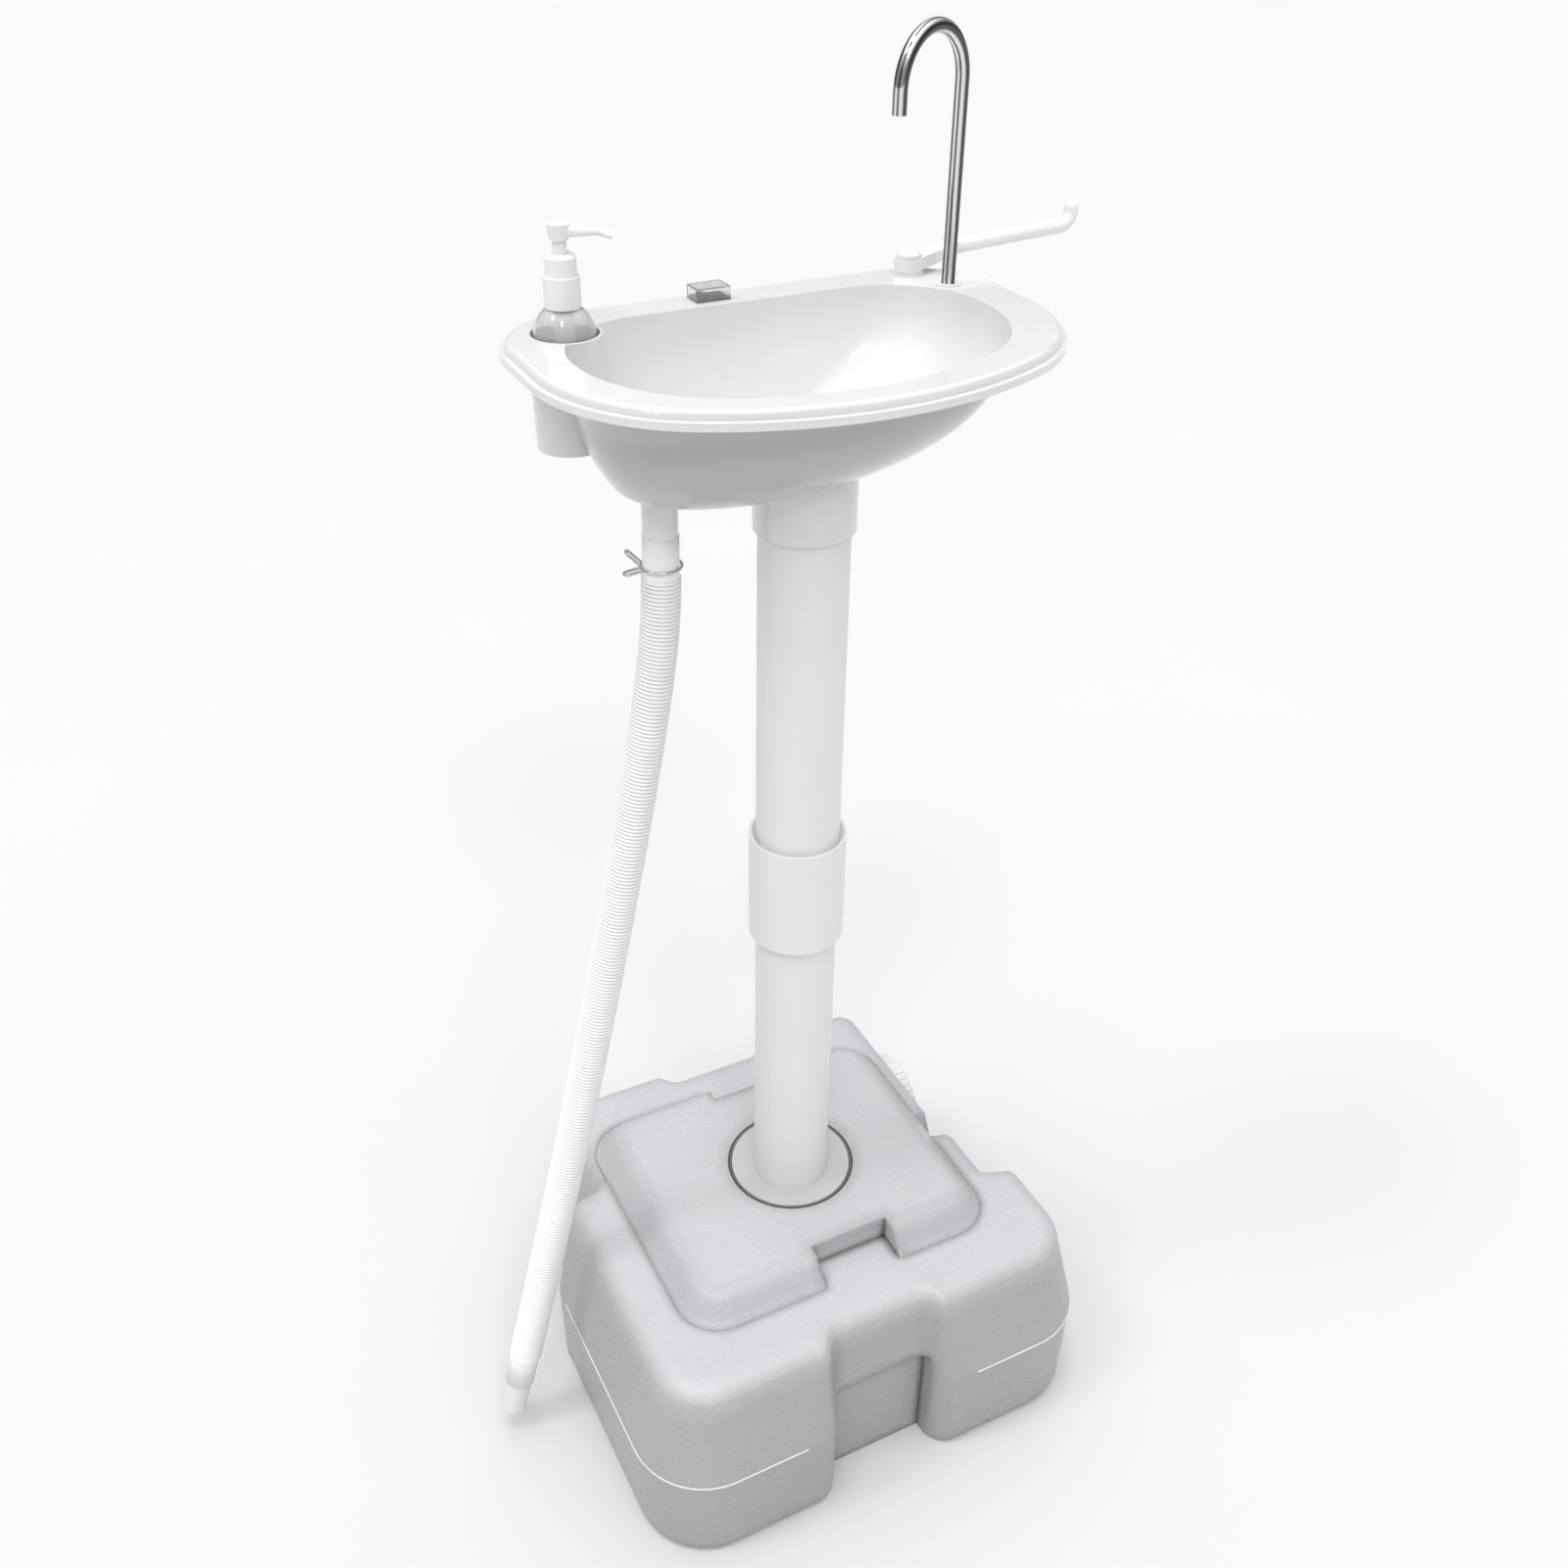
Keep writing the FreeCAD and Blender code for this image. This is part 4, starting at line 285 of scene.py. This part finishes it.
def moulded_tank():
    """Grey blown plastic, leathery grain and faint flow marks; painted shade on its walls and round its lid.
    """
    made = Finish("moulded_tank", specular_ior_level=0.75)
    grain = made.noise(480, detail=4, rough=0.62)
    flow = made.noise(9)
    cloud = made.spread(flow)
    # Painted shade: the walls get a darker, warmer copy of the deck's grey, faded in by height below the
    # deck.
    wall = made.blend(cloud, (0.37, 0.357, 0.355), (0.40, 0.387, 0.385))
    deck = made.blend(cloud, (0.47, 0.475, 0.492), (0.51, 0.515, 0.532))
    lit_deck_share = made.span(made.upright(made.place), PAINTED_WALL_SHADE_TOP, PAINTED_SHADE_FADE_END, 0, 1)
    skin = made.blend(lit_deck_share, wall, deck)
    level = made.vectors("MULTIPLY", made.place, (1, 1, 0))
    from_axis = made.make("ShaderNodeVectorMath", {"operation": "LENGTH"}, {0: level}, "Value")
    # Painted shadow: a dark ring on the deck just outside the lid, widening the dark line where deck and lid
    # meet.
    painted_gap_shadow = lit_deck_share * made.span(abs(from_axis - LID_GAP), GAP_SHADOW_CORE, GAP_SHADOW_EDGE, 1, 0)
    made.feed("Base Color", made.blend(painted_gap_shadow, skin, (0.03, 0.03, 0.03)))
    made.feed("Roughness", made.spread(grain, 0.22, 0.36))
    rounded = made.make("ShaderNodeBevel", {"samples": ROUND_SAMPLES}, {"Radius": TANK_ROUND})
    sag = made.bump(flow, strength=0.12, distance=0.006, under=rounded)
    made.feed("Normal", made.bump(grain, strength=0.4, distance=0.0012, under=sag))
    return made.material


def satin_plastic(name, colour, shade, rough):
    """Moulded plastic: a soft cloud between two near colours, with a fine tool grain."""
    made = Finish(name)
    cloud = made.spread(made.noise(24))
    grain = made.noise(900, detail=2)
    made.feed("Base Color", made.blend(cloud, colour, shade))
    made.feed("Roughness", made.spread(grain, rough - 0.05, rough + 0.06))
    made.feed("Normal", made.bump(grain, strength=0.2, distance=0.0002))
    return made.material


def ribbed_white():
    """White hose plastic, with painted shade greying the valleys between its ribs."""
    made = Finish("hose_white")
    rib = made.make("ShaderNodeAttribute", {"attribute_name": "rib"}, output="Fac")
    cloud = made.spread(made.noise(30))
    crest = made.blend(cloud, (0.93, 0.93, 0.925), (0.96, 0.96, 0.955))
    # Painted shade: the valleys between the ribs take a grey in place of the crests' white.
    made.feed("Base Color", made.blend(rib, (0.78, 0.78, 0.78), crest))
    made.feed("Roughness", made.span(cloud, 0, 1, 0.34, 0.44))
    return made.material


def extruded_tube():
    """White pipe: faint lengthwise draw lines under a satin skin."""
    made = Finish("extruded_tube")
    lines = made.noise(1, rough=0.6, vector=made.stretched((420, 420, 5)))
    cloud = made.spread(made.noise(7))
    made.feed("Base Color", made.blend(cloud, (0.79, 0.79, 0.785), (0.83, 0.83, 0.825)))
    made.feed("Roughness", made.spread(lines, 0.26, 0.4))
    made.feed("Normal", made.bump(lines, strength=0.12, distance=0.0002))
    return made.material


def gloss_basin():
    """White moulded basin: a hard gloss, hairline scuffs, painted shade low in its bowl and on its
    underside.
    """
    made = Finish("gloss_basin", coat_weight=0.6, coat_roughness=0.05)
    swell = made.noise(16, detail=2)
    scuff = made.noise(1, detail=4, rough=0.7, vector=made.stretched((160, 26, 60)))
    upward = made.upright(made.make("ShaderNodeNewGeometry", output="Normal"))
    low = made.span(made.upright(made.place), BOWL_LOW, BOWL_SHADE_TOP, 1, 0)
    # Painted shade: the bowl's low, upward-facing faces get a greyer white, which holds back their
    # brightness.
    painted_bowl_shade = low * made.span(upward, *BOWL_SHADE_SLOPE, 0, 1)
    white = made.blend(made.spread(swell), (0.745, 0.745, 0.745), (0.775, 0.775, 0.775))
    inside = made.blend(painted_bowl_shade, white, (0.64, 0.64, 0.64))
    # Painted shade: faces that look down get a grey white.
    made.feed("Base Color", made.blend(made.span(upward, *PAINTED_UNDERSIDE_SHADE, 0, 1), (0.45, 0.45, 0.45), inside))
    made.feed("Roughness", made.span(scuff, *SCUFFS, 0.13, 0.24))
    made.feed("Normal", made.bump(swell, strength=0.06, distance=0.002))
    return made.material


def polished_chrome():
    """Chromed pipe with a faint lengthwise polish and painted dark reflections along it."""
    made = Finish("polished_chrome", metallic=1.0)
    polish = made.noise(1, rough=0.6, vector=made.stretched((900, 900, 40)))
    bright = made.blend(polish, (0.70, 0.71, 0.73), (0.80, 0.81, 0.82))
    centred = made.vectors("SUBTRACT", made.place, SPOUT_AXIS)
    across = made.vectors("DOT_PRODUCT", centred, SPOUT_ACROSS, "Value") * (1 / SPOUT_RADIUS)
    # Painted reflection: dark streaks in the base colour stand in for dark things mirrored in the chrome.
    outside_painted_reflections = math.prod(
        made.span(abs(across - middle), core, edge, 0, 1) for middle, core, edge in PAINTED_REFLECTIONS
    )
    made.feed("Base Color", made.blend(outside_painted_reflections, (0.09, 0.09, 0.10), bright))
    made.feed("Roughness", made.spread(polish, 0.05, 0.12))
    return made.material


def plated_wire(name, colour, shade, rough):
    """Plated steel, unevenly worn."""
    made = Finish(name, metallic=1.0)
    wear = made.noise(300)
    made.feed("Base Color", made.blend(wear, colour, shade))
    made.feed("Roughness", made.spread(wear, rough - 0.08, rough + 0.1))
    return made.material


def clear_plastic(name, colour, rough, clear):
    """See-through plastic with a faint moulding ripple."""
    made = Finish(name, transmission_weight=clear, ior=1.46)
    ripple = made.noise(60, detail=2)
    made.feed("Base Color", made.blend(ripple, colour, (1, 1, 1)))
    made.feed("Roughness", made.spread(ripple, rough, rough + 0.05))
    made.feed("Normal", made.bump(ripple, strength=0.08, distance=0.0008))
    return made.material


def make_finishes():
    """Each slot's finish, and the parting line's."""
    return {
        "tank_plastic": moulded_tank(),
        "seam": satin_plastic("seam_pale", (0.66, 0.655, 0.65), (0.7, 0.695, 0.69), 0.4),
        "lid_plastic": satin_plastic("lid_grey", (0.47, 0.475, 0.48), (0.51, 0.515, 0.52), 0.45),
        "cap_plastic": satin_plastic("cap_grey", (0.66, 0.66, 0.665), (0.70, 0.70, 0.705), 0.45),
        "tube_plastic": extruded_tube(),
        "basin_plastic": gloss_basin(),
        "arm_plastic": satin_plastic("arm_white", (0.82, 0.82, 0.82), (0.86, 0.86, 0.86), 0.28),
        "hose_plastic": ribbed_white(),
        "outlet_plastic": satin_plastic("outlet_white", (0.74, 0.75, 0.76), (0.8, 0.81, 0.82), 0.22),
        "soap_plastic": satin_plastic("soap_white", (0.84, 0.84, 0.84), (0.88, 0.88, 0.88), 0.25),
        "clear_plastic": clear_plastic("clear_bottle", (0.99, 1, 1), 0.02, 0.75),
        "boot_plastic": clear_plastic("clear_boot", (0.95, 0.96, 0.97), 0.04, 0.9),
        "dip_plastic": satin_plastic("dip_white", (0.8, 0.8, 0.8), (0.86, 0.86, 0.86), 0.3),
        "dark_plastic": satin_plastic("dark_grey", (0.03, 0.03, 0.032), (0.05, 0.05, 0.052), 0.4),
        "motor_steel": plated_wire("motor_can", (0.5, 0.5, 0.5), (0.6, 0.6, 0.6), 0.3),
        "spout_chrome": polished_chrome(),
        "wire_steel": plated_wire("plated_wire", (0.55, 0.55, 0.56), (0.66, 0.66, 0.67), 0.28),
        "seal_rubber": satin_plastic("seal_black", (0.03, 0.03, 0.03), (0.05, 0.05, 0.05), 0.7),
        "riser_rubber": satin_plastic("riser_milky", (0.7, 0.7, 0.68), (0.76, 0.76, 0.74), 0.4),
        "lead_rubber": satin_plastic("lead_black", (0.02, 0.02, 0.02), (0.035, 0.035, 0.035), 0.45),
    }


def finish_nodes(finishes):
    """Gives every CAD node the finish of its record slot."""
    for part in frame["record"]["subparts"]:
        mesh = nodes[part["node"]].data
        mesh.materials.clear()
        mesh.materials.append(finishes[part["material_slot"]])


def placed(name, data):
    """Adds an object to the scene."""
    made = bpy.data.objects.new(name, data)
    bpy.context.scene.collection.objects.link(made)
    return made


def piece(name, mesh, finish, body, slot, *stands_for):
    """Makes an object of a mesh, rides it on a body and lets it stand for nodes."""
    made = placed(name, mesh)
    mesh.materials.clear()
    mesh.materials.append(finish)
    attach(made, body)
    if stands_for:
        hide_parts(*stands_for)
    return made


def mesh_of(shape, name, smooth=True):
    """Turns a bmesh into a mesh with outward faces."""
    bmesh.ops.recalc_face_normals(shape, faces=shape.faces)
    mesh = bpy.data.meshes.new(name)
    for face in shape.faces:
        face.smooth = smooth
    shape.to_mesh(mesh)
    shape.free()
    return mesh


def curve_through(name, kind, runs):
    """A curve with a spline for each run of points."""
    curve = bpy.data.curves.new(name, "CURVE")
    curve.dimensions = "3D"
    for run in runs:
        spline = curve.splines.new(kind)
        spline.points.add(len(run) - 1)
        for point, spot in zip(spline.points, run):
            point.co = (*spot, 1)
    return curve


def mesh_from_curve(curve):
    """Turns a curve into a mesh, which takes its place."""
    holder = bpy.data.objects.new(curve.name, curve)
    mesh = bpy.data.meshes.new_from_object(holder)
    bpy.data.objects.remove(holder)
    bpy.data.curves.remove(curve)
    return mesh


def route_points(route, steps):
    """Points on the smooth line that the route's points steer."""
    curve = curve_through("route", "NURBS", [route])
    spline = curve.splines[0]
    spline.order_u = ROUTE_ORDER
    spline.use_endpoint_u = True
    spline.resolution_u = steps
    line = mesh_from_curve(curve)
    spots = [vertex.co.copy() for vertex in line.vertices]
    bpy.data.meshes.remove(line)
    return spots


class Line:
    """Distances along a run of points."""

    def __init__(self, spots):
        self.spots = spots
        self.marks = [0]
        for before, after in zip(spots, spots[1:]):
            self.marks.append(self.marks[-1] + (after - before).length)
        self.length = self.marks[-1]

    def at(self, distance):
        """The place at a distance, the direction there and one across it."""
        index = 0
        while index < len(self.spots) - 2 and self.marks[index + 1] < distance:
            index += 1
        start, end = self.spots[index], self.spots[index + 1]
        ahead = (end - start).normalized()
        side = Vector((0, 1, 0))
        across = (side - ahead * side.dot(ahead)).normalized()
        return start + ahead * (distance - self.marks[index]), ahead, across


def hose_stations(length):
    """Distances along the hose with the radius there and how far up a rib it is."""
    valley, crest = HOSE_VALLEY / 2, HOSE_OD / 2
    pitch = (length - 2 * HOSE_CUFF) / HOSE_RIBS
    stations = [(0, valley, 1), (HOSE_CUFF, valley, 1)]
    for rib in range(HOSE_RIBS):
        start = HOSE_CUFF + rib * pitch
        for share, rise in HOSE_RIB:
            stations.append((start + share * pitch, valley + (crest - valley) * rise, rise))
    return stations + [(length - HOSE_CUFF * LOWER_CUFF, valley, 1), (length, valley, 1)]


def ribbed_hose(finishes):
    """The drain hose: plain cuffs and close ribs along the route's smooth line."""
    line = Line(route_points(HOSE_ROUTE, ROUTE_STEPS))
    stations = hose_stations(line.length)
    last = len(stations) - 1
    shape = bmesh.new()
    bmesh.ops.create_grid(shape, x_segments=HOSE_SIDES, y_segments=last, size=1)
    height = shape.verts.layers.float.new("rib")
    for vertex in shape.verts:
        turn = math.pi * vertex.co.x
        distance, radius, rise = stations[round((vertex.co.y + 1) / 2 * last)]
        spot, ahead, across = line.at(distance)
        vertex.co = spot + (across * math.cos(turn) + ahead.cross(across) * math.sin(turn)) * radius
        vertex[height] = rise
    bmesh.ops.remove_doubles(shape, verts=shape.verts, dist=SAME_POINT)
    mesh = mesh_of(shape, "ribbed_drain_hose")
    hose = piece("ribbed_drain_hose", mesh, finishes["hose_plastic"], "base", "hose_plastic", "drain_hose")
    wall = hose.modifiers.new("wall", "SOLIDIFY")
    wall.thickness = HOSE_WALL
    wall.offset = -1


def soften(name, width, segments, sharp):
    """Rounds a node's edges that are sharper than an angle."""
    edge = nodes[name].modifiers.new("soft_edges", "BEVEL")
    edge.width = width
    edge.segments = segments
    edge.limit_method = "ANGLE"
    edge.angle_limit = math.radians(sharp)
    edge.harden_normals = True
    edge.use_clamp_overlap = True


def off_seam(spot):
    """Whether the parting line leaves out a place."""
    return any(left < spot.x < right and front < spot.y < back for (left, right), (front, back) in SEAM_GAPS)


def seam_outline():
    """The tank's outlines at the seam's height, in short steps and without what the line leaves out."""
    shape = bmesh.new()
    shape.from_mesh(nodes["tank_shell"].data)
    bmesh.ops.bisect_plane(
        shape, geom=shape.verts[:] + shape.edges[:] + shape.faces[:], dist=SAME_POINT,
        plane_co=(0, 0, SEAM_HEIGHT), plane_no=(0, 0, 1), clear_inner=True, clear_outer=True,
    )
    bmesh.ops.remove_doubles(shape, verts=shape.verts, dist=SAME_SEAM_POINT)
    for edge in shape.edges[:]:
        bmesh.ops.subdivide_edges(shape, edges=[edge], cuts=int(edge.calc_length() / SEAM_STEP))
    left_out = [vertex for vertex in shape.verts if off_seam(vertex.co)]
    bmesh.ops.delete(shape, geom=left_out, context="VERTS")
    return shape


def seam_runs():
    """Runs of points along the seam, for each corner of the tank the one that lies furthest out."""
    shape = seam_outline()
    outermost = {}
    seen = set()
    for end in [vertex for vertex in shape.verts if len(vertex.link_edges) == 1]:
        run, here = [], end
        while here is not None and here not in seen:
            seen.add(here)
            run.append(here.co.copy())
            ahead = [edge.other_vert(here) for edge in here.link_edges]
            here = next((other for other in ahead if other not in seen), None)
        if len(run) > SHORT_RUN:
            reach = max(spot.length for spot in run)
            corner = (run[0].x > 0, run[-1].y + run[0].y > 0)
            if reach > outermost.get(corner, (0, None))[0]:
                outermost[corner] = (reach, run)
    shape.free()
    return [run for reach, run in outermost.values()]


def parting_line(finishes):
    """The thin raised line where the tank's mould closed."""
    curve = curve_through("parting_line", "POLY", seam_runs())
    curve.bevel_depth = SEAM_BEAD / 2
    curve.bevel_resolution = BEAD_STEPS
    curve.use_fill_caps = True
    piece("parting_line", mesh_from_curve(curve), finishes["seam"], "base", "tank_plastic")


class Sky(Shading):
    """The light all round: white overhead, grey at the horizon and dimmer at both sides of the picture."""

    def __init__(self):
        world = bpy.data.worlds.new("studio")
        super().__init__(world, "Background", "Generated")
        rise = self.span(self.upright(self.place), 0, 1, 0, 1)
        aside = abs(self.vectors("DOT_PRODUCT", self.place, PICTURE_SIDE, "Value"))
        overhead = rise * rise * self.span(aside, SIDE_START, SIDE_END, 1, SKY_SIDE)
        share = overhead.maths("MAXIMUM", overhead, HORIZON)
        self.feed("Color", self.blend(share, (0, 0, 0), (0.99, 0.995, 1)))
        self.feed("Strength", SKY_LIGHT)
        bpy.context.scene.world = world


def pale_floor():
    """The floor that the part stands on, which stays with the stage."""
    shape = bmesh.new()
    bmesh.ops.create_grid(shape, x_segments=1, y_segments=1, size=FLOOR_HALF)
    floor = placed("floor", mesh_of(shape, "floor", smooth=False))
    paper = Finish("floor_paper", roughness=0.9)
    tone = paper.noise(2, detail=2)
    paper.feed("Base Color", paper.blend(tone, (0.63, 0.627, 0.622), (0.65, 0.647, 0.642)))
    floor.data.materials.append(paper.material)


def far_lamps():
    """Soft far lamps, which also show as small highlights in the bowl."""
    for name, direction in LAMPS:
        data = bpy.data.lights.new(name, "SUN")
        data.angle = math.radians(LAMP_WIDTH)
        data.energy = LAMP_POWER
        lamp = placed(name, data)
        lamp.location = Vector(direction) * LAMP_DISTANCE
        lamp.rotation_mode = "QUATERNION"
        lamp.rotation_quaternion = Vector(direction).to_track_quat("Z", "Y")


def photo_camera():
    """The photograph's camera and plain colours."""
    data = bpy.data.cameras.new("camera")
    data.sensor_width = SENSOR
    data.lens = LENS
    camera = placed("camera", data)
    camera.location = CAMERA_SPOT
    camera.rotation_mode = "QUATERNION"
    roll = Quaternion(CAMERA_AIM.normalized(), math.radians(-CAMERA_ROLL))
    camera.rotation_quaternion = roll @ CAMERA_AIM.to_track_quat("-Z", "Y")
    bpy.context.scene.camera = camera
    bpy.context.scene.view_settings.view_transform = "Standard"


finishes = make_finishes()
finish_nodes(finishes)
ribbed_hose(finishes)
parting_line(finishes)
for name, width, segments, sharp in SOFT_EDGES:
    soften(name, width, segments, sharp)
pale_floor()
Sky()
far_lamps()
photo_camera()
